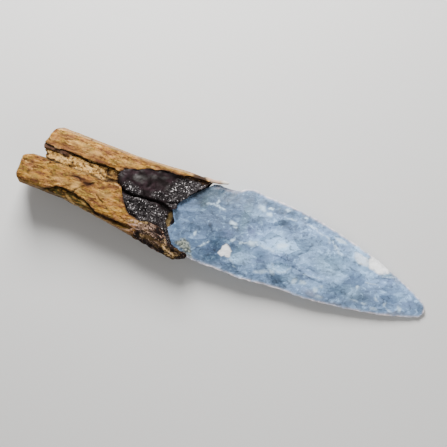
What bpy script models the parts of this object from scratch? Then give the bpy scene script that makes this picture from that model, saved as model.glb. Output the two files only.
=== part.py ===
"""A hafted flint dagger: a leaf-shaped flaked flint blade, set with birch tar into the split end
of a short wooden stem. It lies on its back, broad face up, with the blade's point and a small
worn flat under the front of the handle on the ground."""

import math

import bmesh
import bpy
import numpy as np
from mathutils import Vector

# Sizes in metres. In the dagger's own frame X runs from the butt to the point, Y across the
# broad face to the upper strip of the handle, Z out of the broad face from the blade's middle.
GAP = 0.0003  # clearance between pieces that touch
STEP = 0.0004  # between the two rows of points at a step in a surface

BLADE_LENGTH = 0.1265
BLADE_WIDTH = 0.0410
BLADE_THICKNESS = 0.0092
BLADE_EDGE = 0.0006  # thickness of the blade's retouched edge
POINT_ROUND = 0.0022  # length over which the point is rounded
POINT_ARC = math.radians(80)  # of the quarter circle, so that the point ends in a small facet
SCAR_WIDTH = 0.0115  # of one large flake scar
SCAR_DEPTH = 0.0006

HANDLE_LENGTH = 0.0869  # butt of the lower strip to the end of the lip beside the blade
BLADE_SEAT = 0.0134  # how far the handle reaches past the blade's base
STEM_UPPER = 0.0170  # from the dagger's axis to the upper side of the stem
STEM_LOWER = 0.0140
UPPER_WALL = 0.0011  # wood beside the blade at the mouth
LOWER_WALL = 0.0030
LIP_LAP = 0.0014  # how far the lip laps over the blade's lower corner
MOUTH_SLANT = 0.0022  # the lip reaches this far past the back wall
BACK_WALL = 0.0068  # wood behind the tar
FACE_RISE = 0.0072  # split face of the stem, above the blade's middle
UPPER_LIFT = 0.0006  # of the upper strip's face over the lower one's
MOUTH_RISE = 0.0056  # the same, at the mouth
UPPER_SETBACK = 0.0075  # how much shorter the upper strip is at the butt
END_SLANT = 0.0038  # of the upper strip's end
END_ROUND = 0.0030
BUTT_BOW = 0.0024  # how far the lower strip's end bows out between its corners
BACK_TAPER = 0.0007  # the stem's back rises this much towards the mouth
GROOVE_WIDTH = 0.0061  # the pith's groove between the strips
GROOVE_OFFSET = 0.0037  # middle of the groove, above the axis
GROOVE_DEPTH = 0.0021
BREAK_DEPTH = 0.0017  # step of the broken lower edge of the split face
BREAK_LEAST = 0.0007  # width of the broken band where it is narrowest
CRUST_RELIEF = 0.0005  # lumps of the tarry lower wall near the mouth
CRUST_PITCH = 0.0060

TAR_BED = 0.0012  # tar between the blade and the wood behind it
TAR_COVER = 0.0013  # tar over the blade's rim
TAR_START = 0.0440  # end of the tar in the groove, from the butt
TAR_NOSE = 0.0012  # rounding of that end
TAR_SUNK = 0.0004  # its surface below the split face
TAR_CROWN = 0.0007
TAR_LUMP = 0.0004  # height of its lumps
TAR_LUMP_PITCH = 0.0075
TAR_CRACK = 0.0013  # depth of the crack between the upper and the lower lump
TAR_CRACK_WIDTH = 0.0024
TAR_INSET = 0.0030  # how far the layer behind the blade stays inside the mouth
BED_RAMP = 0.0140  # over which the bed reaches its full depth
BED_START_DEPTH = 0.0020  # under the groove's floor, where the tar begins

SPLINTER_LENGTH = 0.0092  # what stands out beyond the upper wall
SPLINTER_RISE = 0.0022  # of its tip, over its length
SPLINTER_RADIUS = 0.0008
SPLINTER_LEVEL = 0.0015  # of its axis, above the blade's middle

REST_CUT = 0.0009  # depth of the worn flat at the handle's front
REST_INSET = 0.0030  # from the handle's front to the flat's deep end

WIDEST_LEVEL = -0.0010  # where the stem is widest
BED_SIDE = -0.0010  # level where the bed's upright sides turn into its rounded floor
MERGE = 0.000002  # points this close are one

# Powers of the rounded sections: the higher, the flatter in the middle and fuller at the sides.
FACE_POWER = 5
BACK_POWER = 2.4
BED_POWER = 4
BLADE_POWER = 2.4

# Outlines, in shares of the blade's length and width. The width's shares count from the axis.
UPPER_EDGE = (
    (0.000, 0.405), (0.110, 0.422), (0.175, 0.452), (0.211, 0.498), (0.237, 0.517),
    (0.312, 0.517), (0.469, 0.492), (0.588, 0.430), (0.703, 0.346), (0.817, 0.241),
    (0.910, 0.129), (0.960, 0.056), (1.000, -0.012),
)
LOWER_EDGE = (
    (0.000, 0.422), (0.043, 0.437), (0.110, 0.468), (0.243, 0.471), (0.312, 0.476),
    (0.381, 0.454), (0.450, 0.434), (0.588, 0.420), (0.680, 0.385), (0.771, 0.341),
    (0.863, 0.280), (0.946, 0.205), (1.000, 0.139),
)
# How far the blade's base falls back from its leftmost point, across the width from -1 to 1.
BASE_CURVE = (
    (-1.00, 0.134), (-0.85, 0.037), (-0.62, 0.002), (-0.48, 0.027), (-0.32, 0.071),
    (-0.12, 0.022), (0.08, 0.000), (0.27, 0.039), (0.50, 0.122), (0.75, 0.224), (1.00, 0.341),
)
# Thickness along the blade, in shares of the full one.
THICKNESS_CURVE = (
    (0.00, 0.34), (0.05, 0.62), (0.12, 0.80), (0.25, 0.97), (0.38, 1.00), (0.55, 0.92),
    (0.72, 0.74), (0.86, 0.52), (0.95, 0.32), (1.00, 0.12),
)
# How the tar's bed opens from the groove's width to the mouth's, along the handle.
UPPER_OPENING = (
    (0.46, 0.00), (0.50, 0.01), (0.54, 0.17), (0.59, 0.33), (0.65, 0.53), (0.73, 0.72),
    (0.82, 0.83), (0.89, 0.96), (0.97, 1.00), (1.20, 1.00),
)
LOWER_OPENING = (
    (0.46, 0.00), (0.545, 0.01), (0.565, 0.24), (0.592, 0.43), (0.625, 0.565), (0.672, 0.625),
    (0.76, 0.625), (0.832, 0.645), (0.899, 0.91), (0.967, 0.985), (1.00, 1.05), (1.20, 1.07),
)
# Edge of the tar on the blade, measured back from the mouth, across the bed from -1 to 1.
TAR_EDGE = (
    (-1.00, 0.0084), (-0.90, 0.0096), (-0.82, 0.0116), (-0.74, 0.0140), (-0.62, 0.0150),
    (-0.45, 0.0146), (-0.25, 0.0137), (-0.04, 0.0122), (0.19, 0.0111), (0.54, 0.0076),
    (0.90, 0.0018), (1.00, 0.0008),
)
# Broken lower edge of the split face, in shares of the handle's length and the stem's lower half.
BREAK_EDGE = (
    (0.00, 1.00), (0.12, 0.99), (0.18, 0.82), (0.24, 0.66), (0.32, 0.76), (0.40, 0.85),
    (0.47, 1.03), (0.56, 1.09), (0.66, 1.06), (0.76, 1.28), (0.90, 1.45), (1.00, 1.30),
)


def smooth(points, at):
    """A cubic curve through the points, with each slope taken from the neighbours."""
    px, py = np.transpose(np.array(points, float))
    slope = np.gradient(py, px)
    at = np.clip(np.asarray(at, float), px[0], px[-1])
    k = np.clip(np.searchsorted(px, at, side="right") - 1, 0, len(px) - 2)
    span = px[k + 1] - px[k]
    u = (at - px[k]) / span
    rise = py[k + 1] - py[k]
    bend = (slope[k] * span - rise) * (1 - u) - (slope[k + 1] * span - rise) * u
    return py[k] + rise * u + u * (1 - u) * bend


def ease(start, end, at):
    """Rises from 0 at start to 1 at end, level at both."""
    u = np.clip((at - start) / (end - start), 0.0, 1.0)
    return u * u * (3 - 2 * u)


def crown(w, power):
    """Height of a rounded section: 1 in the middle, 0 at w = -1 and 1."""
    return (1 - np.clip(np.abs(w), 0, 1) ** power) ** (1 / power)


BASE_X = HANDLE_LENGTH - BLADE_SEAT
POINT_X = BASE_X + BLADE_LENGTH


def blade_edges(x, grow=0.0):
    """Upper and lower edge of the blade at x, closed by an arc at the point."""
    share = (x - BASE_X) / BLADE_LENGTH
    upper = BLADE_WIDTH * smooth(UPPER_EDGE, share)
    lower = -BLADE_WIDTH * smooth(LOWER_EDGE, share)
    into = np.clip((x - POINT_X + POINT_ROUND) / (POINT_ROUND + grow), 0, 1)
    closing = np.sqrt(1 - into**2)
    middle = (upper + lower) / 2
    half = ((upper - lower) / 2 + grow) * closing
    return middle - half, middle + half


def blade_half(x, s):
    """Half thickness of the unflaked blade at x and at s across it, -1 to 1."""
    full = BLADE_THICKNESS / 2 * smooth(THICKNESS_CURVE, (x - BASE_X) / BLADE_LENGTH)
    edge = BLADE_EDGE / 2
    return edge + np.maximum(full - edge, 0) * (1 - np.abs(s) ** BLADE_POWER)


def scars(x, y, s, slant, phase):
    """Depth of the row of large flake scars that starts at one edge: hollow troughs side by side,
    with a sharp ridge where two meet, fading out at the edge itself."""
    along = (x + slant * y) / SCAR_WIDTH + phase
    along = along + 0.3 * np.sin(2.1 * along)
    offset = along - np.floor(along) - 0.5
    return SCAR_DEPTH * (1 - 4 * offset**2) * (1 - np.abs(s) ** 6) * np.minimum(1, 2.5 * np.abs(s))


def blade_grids(grow=0.0, lengthways=46, across=17):
    """Front and back of the blade, as grids of points. Each row across is moved along X near the
    base, so that the first one is the blade's rounded and notched base."""
    angle = np.linspace(0, POINT_ARC, 6)[1:]
    rounding = POINT_X - POINT_ROUND + (POINT_ROUND + grow) * np.sin(angle)
    body = np.linspace(0, 1, lengthways - len(rounding)) ** 1.15
    station = np.concatenate([BASE_X + body * (BLADE_LENGTH - POINT_ROUND), rounding])
    s = np.sin(np.linspace(-math.pi / 2, math.pi / 2, across))
    s = 0.5 * s + 0.5 * np.linspace(-1, 1, across)
    fade = np.clip(1 - (station - BASE_X) / (0.26 * BLADE_LENGTH), 0, 1) ** 2
    x = station[:, None] + fade[:, None] * (BLADE_WIDTH * smooth(BASE_CURVE, s)[None] - grow)
    s = np.broadcast_to(s, x.shape)
    lower, upper = blade_edges(x, grow)
    y = lower + (upper - lower) * (s + 1) / 2
    half = blade_half(x, s)
    least = BLADE_EDGE / 3
    above = np.where(s > 0, scars(x, y, s, 0.45, 0.2), scars(x, y, s, -0.35, 0.6))
    below = np.where(s > 0, scars(x, y, s, -0.4, 0.4), scars(x, y, s, 0.3, 0.9))
    front = np.maximum(half - above, least) + grow
    back = -np.maximum(half - below, least) - grow
    return np.stack([x, y, front], -1), np.stack([x, y, back], -1)


MOUTH_UPPER = BLADE_WIDTH * float(smooth(UPPER_EDGE, 0.10)) + GAP
MOUTH_LOWER = BLADE_WIDTH * float(smooth(LOWER_EDGE, 0.08)) + GAP
SEAT_HALF = float(blade_half(np.array(HANDLE_LENGTH), np.array(0.0)))
BED_FLOOR = -(SEAT_HALF + GAP + TAR_BED)  # lowest level of the tar
BACK_LEVEL = BED_FLOOR - GAP - BACK_WALL
GROOVE_LOWER = GROOVE_OFFSET - GROOVE_WIDTH / 2
GROOVE_UPPER = GROOVE_OFFSET + GROOVE_WIDTH / 2


def bed_edges(x, grow=0.0):
    """Lower and upper edge of the bed that the tar fills, at x."""
    share = x / HANDLE_LENGTH
    drop = GROOVE_LOWER + MOUTH_LOWER - LIP_LAP
    lower = GROOVE_LOWER - drop * smooth(LOWER_OPENING, share)
    upper = GROOVE_UPPER + (MOUTH_UPPER - GROOVE_UPPER) * smooth(UPPER_OPENING, share)
    return lower - grow, upper + grow


def waves(x, y, pitch):
    """Rounded lumps about one pitch apart, between -1 and 1."""
    turn = 2 * math.pi / pitch
    return np.sin(turn * (x + 0.5 * y) + 1.3) * np.cos(turn * (0.8 * y - 0.3 * x))


def face_level(x, y):
    """Level of the split face: it sinks towards the mouth and is a little higher on the upper
    strip than on the lower one."""
    sink = (FACE_RISE - MOUTH_RISE) * ease(0.45 * HANDLE_LENGTH, HANDLE_LENGTH, x)
    return FACE_RISE - sink + UPPER_LIFT * ease(-0.2, 1.0, y / STEM_UPPER)


def tar_grids(grow=0.0, cutter=False, lengthways=18, across=15):
    """Front and back of the tar. It fills the bed, laps over the rim of the blade's base, and
    then drops to a thin layer behind the blade. As a cutter it is grown on all sides, is open
    to the front and runs out past the mouth."""
    w = np.sin(np.linspace(-math.pi / 2, math.pi / 2, across))
    w = 0.6 * w + 0.4 * np.linspace(-1, 1, across)
    start = TAR_START + TAR_NOSE * w**2 - grow
    edge = HANDLE_LENGTH - smooth(TAR_EDGE, w)
    end = HANDLE_LENGTH - TAR_INSET * (1 - 0.9 * np.maximum(w, 0) ** 4)
    edge = np.minimum(edge, end - 4 * GAP)
    drop = edge + GAP
    t = np.linspace(0, 1, lengthways)[:, None]
    main = start + (edge - start) * t
    bed = drop + (end - drop) * np.linspace(0, 1, 4)[:, None]
    x = np.concatenate([main, bed])
    if cutter:
        x = np.concatenate([x, x[-1:] + 0.25 * HANDLE_LENGTH])
    w = np.broadcast_to(w, x.shape)
    lower, upper = bed_edges(x, grow)
    y = lower + (upper - lower) * (w + 1) / 2
    deep = ease(0, 1, (x - TAR_START) / BED_RAMP - 0.15)
    side = face_level(x, y) - GROOVE_DEPTH - BED_START_DEPTH / 2
    side = side + (BED_SIDE - side) * deep
    floor = face_level(x, y) - GROOVE_DEPTH - BED_START_DEPTH
    floor = floor + (BED_FLOOR - floor) * deep
    back = side - (side - floor) * crown(w, BED_POWER) - grow
    lumps = TAR_CROWN * (1 - w**2) + TAR_LUMP * waves(x, y, TAR_LUMP_PITCH)
    front = face_level(x, y) - TAR_SUNK + lumps
    over_rim = blade_half(x, w) + TAR_COVER + TAR_LUMP
    front = front + (over_rim - front) * ease(0, 1, (x - TAR_START) / (edge - TAR_START) - 0.1)
    wander = 0.6 * np.sin(math.pi * x / TAR_LUMP_PITCH) - 1
    split = (y - TAR_CRACK_WIDTH * 0.4 * wander) / (TAR_CRACK_WIDTH / 2)
    front = front - TAR_CRACK * np.exp(-(split**2)) * ease(2, 5, (x - TAR_START) / TAR_NOSE)
    behind = -(0.55 * SEAT_HALF + GAP)
    front[lengthways:] = np.maximum(behind, back[lengthways:] + TAR_BED / 2)
    if cutter:
        front = np.full_like(front, 2 * FACE_RISE)
    return np.stack([x, y, front], -1), np.stack([x, y, back], -1)


def stem_edges(x):
    """Lower and upper side of the stem at x. The lower side swells towards the mouth and is
    rounded off at the lip; the upper one stays nearly straight."""
    swell = np.clip((x / HANDLE_LENGTH - 0.28) / 0.64, 0, 1)
    lip = np.clip((x / HANDLE_LENGTH - 0.92) / 0.08, 0, 1)
    mouth = MOUTH_LOWER + LOWER_WALL
    lower = -(STEM_LOWER + (mouth - STEM_LOWER) * swell - 0.75 * LOWER_WALL * lip**2)
    swell = ease(0.52, 0.92, x / HANDLE_LENGTH)
    upper = STEM_UPPER + (MOUTH_UPPER + UPPER_WALL - STEM_UPPER) * swell
    return lower, upper


def stem_rows(x, breaks):
    """The plan rows of the stem at x, from its lower to its upper side. They follow the broken
    edge and the groove, with two rows close together at each step."""
    lower, upper = stem_edges(x)
    knots = (
        (lower, breaks, (0, 0.06, 0.22, 0.5, 1)),
        (breaks + STEP, GROOVE_LOWER - STEP + 0 * x, (0, 0.2, 0.4, 0.6, 0.8, 1)),
        (GROOVE_LOWER + 0 * x, GROOVE_UPPER - STEP + 0 * x, (0, 0.35, 0.7, 1)),
        (GROOVE_UPPER + 0 * x, upper, (0, 0.2, 0.4, 0.6, 0.78, 0.92, 0.98, 1)),
    )
    rows = [a + (b - a) * f for a, b, fractions in knots for f in fractions]
    return np.stack(rows, -1)


def stem_grids(lengthways=38):
    """Front and back of the stem before the bed is cut: rounded sections with a flat split face,
    the groove in it and the broken step along its lower side. The butt is stepped, because the
    upper strip is shorter, and the end of each strip is rounded."""
    station = np.linspace(0, HANDLE_LENGTH, lengthways)
    lower, upper = stem_edges(station)
    breaks = -STEM_LOWER * smooth(BREAK_EDGE, station / HANDLE_LENGTH)
    breaks = np.maximum(breaks, lower + BREAK_LEAST)
    y = stem_rows(station, breaks)
    x = station[:, None] + 0 * y
    in_upper = y > GROOVE_LOWER - STEP / 2
    butt_lower = BUTT_BOW * ((y + 0.46 * STEM_LOWER) / (0.53 * STEM_LOWER)) ** 4
    up_strip = np.clip((y - GROOVE_UPPER) / (STEM_UPPER - GROOVE_UPPER), 0, 1)
    butt_upper = UPPER_SETBACK + END_SLANT * up_strip
    butt = np.where(in_upper, butt_upper, np.minimum(butt_lower, BUTT_BOW))
    fade = np.clip(1 - x / (3 * UPPER_SETBACK), 0, 1)
    ragged = 0.2 * np.sin(math.pi * y / CRUST_PITCH)
    mouth = -MOUTH_SLANT * (ease(-1.0, -0.6, y / MOUTH_LOWER) + ragged)
    x = x + butt * fade + mouth * ease(0.86, 1.0, x / HANDLE_LENGTH)
    middle = ((lower + upper) / 2)[:, None]
    half = ((upper - lower) / 2)[:, None]
    w = (y - middle) / half
    from_butt = np.clip(1 - (x - butt) / END_ROUND, 0, 1) ** 2
    rise = face_level(x, y) - WIDEST_LEVEL - 0.3 * END_ROUND * from_butt
    front = WIDEST_LEVEL + rise * crown(w, FACE_POWER)
    below_break = y < breaks[:, None] + STEP / 2
    present = ease(0.10, 0.18, x / HANDLE_LENGTH) * (1 - ease(0.62, 0.72, x / HANDLE_LENGTH))
    crust = CRUST_RELIEF * waves(x, y, CRUST_PITCH) * ease(0.64, 0.76, x / HANDLE_LENGTH)
    step = np.where(below_break, BREAK_DEPTH * present, 0)
    front = front + (crust - step) * crown(w, FACE_POWER)
    in_groove = in_upper & (y < GROOVE_UPPER - STEP / 2)
    across = np.clip((y - GROOVE_LOWER) / GROOVE_WIDTH, 0, 1)
    front = front - np.where(in_groove, GROOVE_DEPTH * (0.3 + 0.7 * across), 0)
    depth = WIDEST_LEVEL - BACK_LEVEL
    depth = depth - BACK_TAPER * ease(0.5, 1.0, x / HANDLE_LENGTH) - 0.3 * END_ROUND * from_butt
    back = WIDEST_LEVEL - depth * crown(w, BACK_POWER)
    return np.stack([x, y, front], -1), np.stack([x, y, back], -1)


def slab(name, grids, collection, wall_rows=1):
    """A closed solid between two grids of points that share their outline's point count: the
    front, the back, and the walls between their rims."""
    front, back = grids
    rows, columns = front.shape[:2]
    index = np.arange(rows * columns).reshape(rows, columns)
    rim = np.concatenate([index[0, :-1], index[:-1, -1], index[-1, :0:-1], index[:0:-1, 0]])
    points = [front.reshape(-1, 3), back.reshape(-1, 3)]
    behind = rows * columns
    rings = [rim]
    count = 2 * behind
    for k in range(1, wall_rows):
        share = k / wall_rows
        points.append(points[0][rim] * (1 - share) + points[1][rim] * share)
        rings.append(np.arange(count, count + len(rim)))
        count += len(rim)
    rings.append(rim + behind)
    a, b, c, d = index[:-1, :-1], index[1:, :-1], index[1:, 1:], index[:-1, 1:]
    faces = [np.stack([a, b, c, d], -1).reshape(-1, 4)]
    faces.append(np.stack([a, d, c, b], -1).reshape(-1, 4) + behind)
    for near, far in zip(rings, rings[1:]):
        faces.append(np.stack([near, np.roll(near, -1), np.roll(far, -1), far], -1))
    mesh = bpy.data.meshes.new(name)
    mesh.from_pydata(np.concatenate(points).tolist(), [], np.concatenate(faces).tolist())
    work = bmesh.new()
    work.from_mesh(mesh)
    bmesh.ops.remove_doubles(work, verts=work.verts, dist=MERGE)
    bmesh.ops.dissolve_degenerate(work, dist=MERGE, edges=work.edges)
    bmesh.ops.recalc_face_normals(work, faces=work.faces)
    if work.calc_volume(signed=True) < 0:
        bmesh.ops.reverse_faces(work, faces=work.faces)
    work.to_mesh(mesh)
    work.free()
    mesh.shade_smooth()
    mesh.set_sharp_from_angle(angle=math.radians(35))
    obj = bpy.data.objects.new(name, mesh)
    collection.objects.link(obj)
    return obj


def boolean(obj, other, operation):
    modifier = obj.modifiers.new(f"{operation.lower()} {other.name}", "BOOLEAN")
    modifier.operation = operation
    modifier.object = other
    modifier.solver = "EXACT"


def helper(obj):
    obj.hide_render = True
    obj.display_type = "WIRE"
    return obj


def adopted(name, collection):
    """The primitive just added, named and moved to the collection of cutters."""
    obj = bpy.context.active_object
    obj.name = name
    for owner in list(obj.users_collection):
        owner.objects.unlink(obj)
    collection.objects.link(obj)
    return helper(obj)


def material(name, color, roughness):
    made = bpy.data.materials.new(name)
    made.use_nodes = True
    shader = made.node_tree.nodes["Principled BSDF"]
    shader.inputs["Base Color"].default_value = (*color, 1)
    shader.inputs["Roughness"].default_value = roughness
    shader.inputs["Metallic"].default_value = 0.0
    return made


def splinter(collection):
    """A thin sliver of the upper wall that stands out past the mouth, as a tapered cone."""
    root = HANDLE_LENGTH - MOUTH_SLANT - SPLINTER_LENGTH / 2
    start = Vector((root, MOUTH_UPPER + UPPER_WALL / 2, SPLINTER_LEVEL))
    tip = start + Vector((1.5 * SPLINTER_LENGTH, SPLINTER_RISE, 0))
    along = tip - start
    bpy.ops.mesh.primitive_cone_add(
        vertices=8,
        radius1=SPLINTER_RADIUS,
        radius2=0.4 * SPLINTER_RADIUS,
        depth=along.length,
        location=(start + tip) / 2,
        rotation=along.to_track_quat("Z", "Y").to_euler(),
    )
    return adopted("splinter_form", collection)


def ground(collection, size):
    """A block whose top is the ground, for the worn flat."""
    bpy.ops.mesh.primitive_cube_add(size=size, location=(0, 0, -size / 2))
    return adopted("ground_cut", collection)


def lie_down(blade):
    """Angle and height at which the dagger lies: the ground touches the underside of the blade
    near its point, and passes a small depth inside the back of the handle near the mouth."""
    foot_x = HANDLE_LENGTH - REST_INSET
    foot_z = BACK_LEVEL + BACK_TAPER + REST_CUT
    points = np.array([v.co[:] for v in blade.data.vertices])
    points = points[points[:, 0] > foot_x + 0.5 * BLADE_LENGTH]
    slope = ((points[:, 2] - foot_z) / (points[:, 0] - foot_x)).min()
    angle = math.atan(slope)
    return angle, -(-foot_x * math.sin(angle) + foot_z * math.cos(angle))


def main():
    for obj in list(bpy.data.objects):
        bpy.data.objects.remove(obj, do_unlink=True)
    parts = bpy.data.collections.new("hafted_flint_dagger")
    helpers = bpy.data.collections.new("cutters")
    for collection in (parts, helpers):
        bpy.context.scene.collection.children.link(collection)

    blade = slab("flint_blade", blade_grids(), parts)
    wood = slab("wood_handle", stem_grids(), parts, wall_rows=3)
    tar = slab("birch_tar", tar_grids(), parts)
    blade_room = helper(slab("blade_room", blade_grids(GAP), helpers))
    tar_room = helper(slab("tar_room", tar_grids(GAP, cutter=True), helpers))
    sliver = splinter(helpers)

    blade.data.materials.append(material("flint", (0.28, 0.36, 0.45), 0.42))
    wood.data.materials.append(material("elder_wood", (0.36, 0.20, 0.08), 0.70))
    tar.data.materials.append(material("birch_tar", (0.035, 0.024, 0.030), 0.45))

    angle, height = lie_down(blade)
    lie = bpy.data.objects.new("lie", None)
    helpers.objects.link(lie)
    for obj in (blade, wood, tar, blade_room, tar_room, sliver):
        obj.parent = lie
    lie.rotation_euler = (0, angle, 0)
    lie.location = (0, 0, height)

    boolean(wood, sliver, "UNION")
    boolean(wood, tar_room, "DIFFERENCE")
    boolean(wood, blade_room, "DIFFERENCE")
    boolean(wood, ground(helpers, 3 * HANDLE_LENGTH), "DIFFERENCE")
    boolean(tar, blade_room, "DIFFERENCE")

    # The origin goes under the middle of the whole dagger.
    bpy.context.view_layer.update()
    graph = bpy.context.evaluated_depsgraph_get()
    corners = []
    for obj in (blade, wood, tar):
        evaluated = obj.evaluated_get(graph)
        corners += [evaluated.matrix_world @ v.co for v in evaluated.data.vertices]
    corners = np.array([c[:] for c in corners])
    centre = (corners.min(axis=0) + corners.max(axis=0)) / 2
    lie.location.x -= centre[0]
    lie.location.y -= centre[1]
    bpy.context.view_layer.update()


main()
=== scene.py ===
import math

import bmesh
import bpy
import numpy as np
from mathutils import Matrix, Vector


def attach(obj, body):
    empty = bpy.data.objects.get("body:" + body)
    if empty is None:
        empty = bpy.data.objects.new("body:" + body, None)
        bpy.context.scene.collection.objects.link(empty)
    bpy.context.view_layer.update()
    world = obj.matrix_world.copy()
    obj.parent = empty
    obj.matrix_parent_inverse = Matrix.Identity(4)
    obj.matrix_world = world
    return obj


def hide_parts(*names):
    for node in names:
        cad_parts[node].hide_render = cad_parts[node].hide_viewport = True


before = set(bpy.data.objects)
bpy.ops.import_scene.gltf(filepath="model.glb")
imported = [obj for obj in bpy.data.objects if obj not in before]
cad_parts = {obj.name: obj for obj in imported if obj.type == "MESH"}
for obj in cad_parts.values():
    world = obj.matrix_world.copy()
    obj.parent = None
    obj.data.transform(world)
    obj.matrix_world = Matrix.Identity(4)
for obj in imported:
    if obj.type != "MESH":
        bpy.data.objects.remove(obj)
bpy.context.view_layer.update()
print("frame loaded:", sorted(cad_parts))

# Lengths are in millimetres, in the dagger's own frame: x runs from the butt to the point,
# y across the broad face to the handle's upper strip, z out of the broad face.
# The dagger lies on its back, tipped forward by this turn and then moved to its place.
lie = dict(turn=math.radians(4.69163), place=(-99.235, 0.247, 17.377))

# The photograph is square and looks straight at the broad face, with the dagger turned in it.
view = dict(middle=(97.9, 1.9, 2), width=207.8, roll=math.radians(21), lens=100, sensor=36)

mergeDistance = 0.000002  # in metres
sharpAngle = math.radians(50)


def toWorld(points):
    # turn about y by the lie's angle, then move; millimetres become metres
    c, s = math.cos(lie["turn"]), math.sin(lie["turn"])
    x, y, z = np.moveaxis(np.asarray(points, float), -1, 0)
    turned = np.stack([x * c + z * s, y, z * c - x * s], -1)
    return (turned + lie["place"]) / 1000


def smooth(points, at):
    # cubic curve through the points, each slope taken from the two neighbours
    px, py = np.transpose(np.array(points, float))
    slope = np.gradient(py, px)
    at = np.clip(np.asarray(at, float), px[0], px[-1])
    k = np.clip(np.searchsorted(px, at, side="right") - 1, 0, len(px) - 2)
    span = px[k + 1] - px[k]
    u = (at - px[k]) / span
    rise = py[k + 1] - py[k]
    bend = (slope[k] * span - rise) * (1 - u) - (slope[k + 1] * span - rise) * u
    return py[k] + rise * u + u * (1 - u) * bend


def ramp(start, end, at):
    # rises straight from 0 at start to 1 at end
    return np.clip((at - start) / (end - start), 0, 1)


def ease(start, end, at):
    # the same, level at both ends: three u squared minus two u cubed
    u = ramp(start, end, at)
    return u * u * (3 - 2 * u)


def crown(w, power):
    # rounded section: the power-th root of one minus w to that power
    return (1 - np.clip(np.abs(w), 0, 1) ** power) ** (1 / power)


def noise(points, size, seed):
    # value noise: a random number between -1 and 1 at each corner of a lattice whose cells have
    # the given size, blended between the corners by the ease curve
    table = np.random.default_rng(seed).uniform(-1, 1, 8192)
    scatter = np.array([1619, 31337, 6971])  # primes that spread the corners over the table
    spot = points / np.asarray(size, float)
    cell = np.floor(spot).astype(np.int64)
    part = spot - cell
    part = part * part * (3 - 2 * part)
    total = np.zeros(points.shape[:-1])
    for corner in np.ndindex(2, 2, 2):
        key = (cell + corner) @ scatter
        weight = np.prod(np.where(corner, part, 1 - part), axis=-1)
        total += weight * table[key % len(table)]
    return total


def rough(points, size, seed, layers=3):
    # noise added to itself at half the size and half the height, layer by layer
    size = np.asarray(size, float) * np.ones(3)
    return sum(noise(points, size / 2**k, seed + k) / 2**k for k in range(layers))


def ragged(at, size, seed):
    # the same along one line
    return rough(np.stack([at, 0 * at, 0 * at], -1), size, seed)


def heights(points, marks, rows):
    # the sum of rough layers: the mark that each shows in or "all", its height, size, seed, and the
    # number of its halvings if that isn't three
    return sum(marks.get(name, 1) * height * rough(points, *how) for name, height, *how in rows)


def wander(points, reach, size, seed):
    # x and y moved about by noise, which makes the outlines of marks ragged
    moved = np.stack([rough(points, size, seed), rough(points, size, seed + 4)], -1)
    return (points[:, :2] + reach * moved).T


def oval(x, y, place):
    # squared distance from the middle of an oval, 1 on its rim; it is turned if a turn is given
    px, py, length, width, _, turn = (*place, 0)[:6]
    c, s = math.cos(math.radians(turn)), math.sin(math.radians(turn))
    along = ((x - px) * c + (y - py) * s) * 2 / length
    across = ((y - py) * c - (x - px) * s) * 2 / width
    return along**2 + across**2


def spots(x, y, places, soft=0.45):
    # the strongest of several ovals: x, y, length, width, strength, and some with a turn in degrees
    total = np.zeros_like(x)
    for place in places:
        inside = 1 - ease(1 - soft, 1 + soft, np.sqrt(oval(x, y, place)))
        total = np.maximum(total, place[4] * inside)
    return total


def strokes(x, y, routes):
    # lines: width, strength, then x and y of each point; a bell curve of the distance to the line
    total = np.zeros_like(x)
    for width, strength, *route in routes:
        nearest = np.full_like(x, 1e9)
        for ax, ay, bx, by in zip(route[::2], route[1::2], route[2::2], route[3::2]):
            dx, dy = bx - ax, by - ay
            t = np.clip(((x - ax) * dx + (y - ay) * dy) / (dx * dx + dy * dy), 0, 1)
            nearest = np.minimum(nearest, np.hypot(x - ax - t * dx, y - ay - t * dy))
        total = np.maximum(total, strength * np.exp(-((nearest / width) ** 2)))
    return total


def drawnMarks(x, y, piece, share=1):
    # the marks that a piece's dictionary lists: ovals with their softness, and lines
    ovals = {name: share * spots(x, y, piece[name], soft) for name, soft in piece["soft"].items()}
    return ovals | {name: share * strokes(x, y, piece[name]) for name in piece["lines"]}


def gathered(count, share):
    # from -1 to 1, closer at both ends: this share in equal steps and the rest by a sine
    even = np.linspace(-1, 1, count)
    return share * even + (1 - share) * np.sin(even * math.pi / 2)


def twoSides(x, y, front, back):
    return [np.stack(np.broadcast_arrays(x, y, z), -1) for z in (front, back)]


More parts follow.
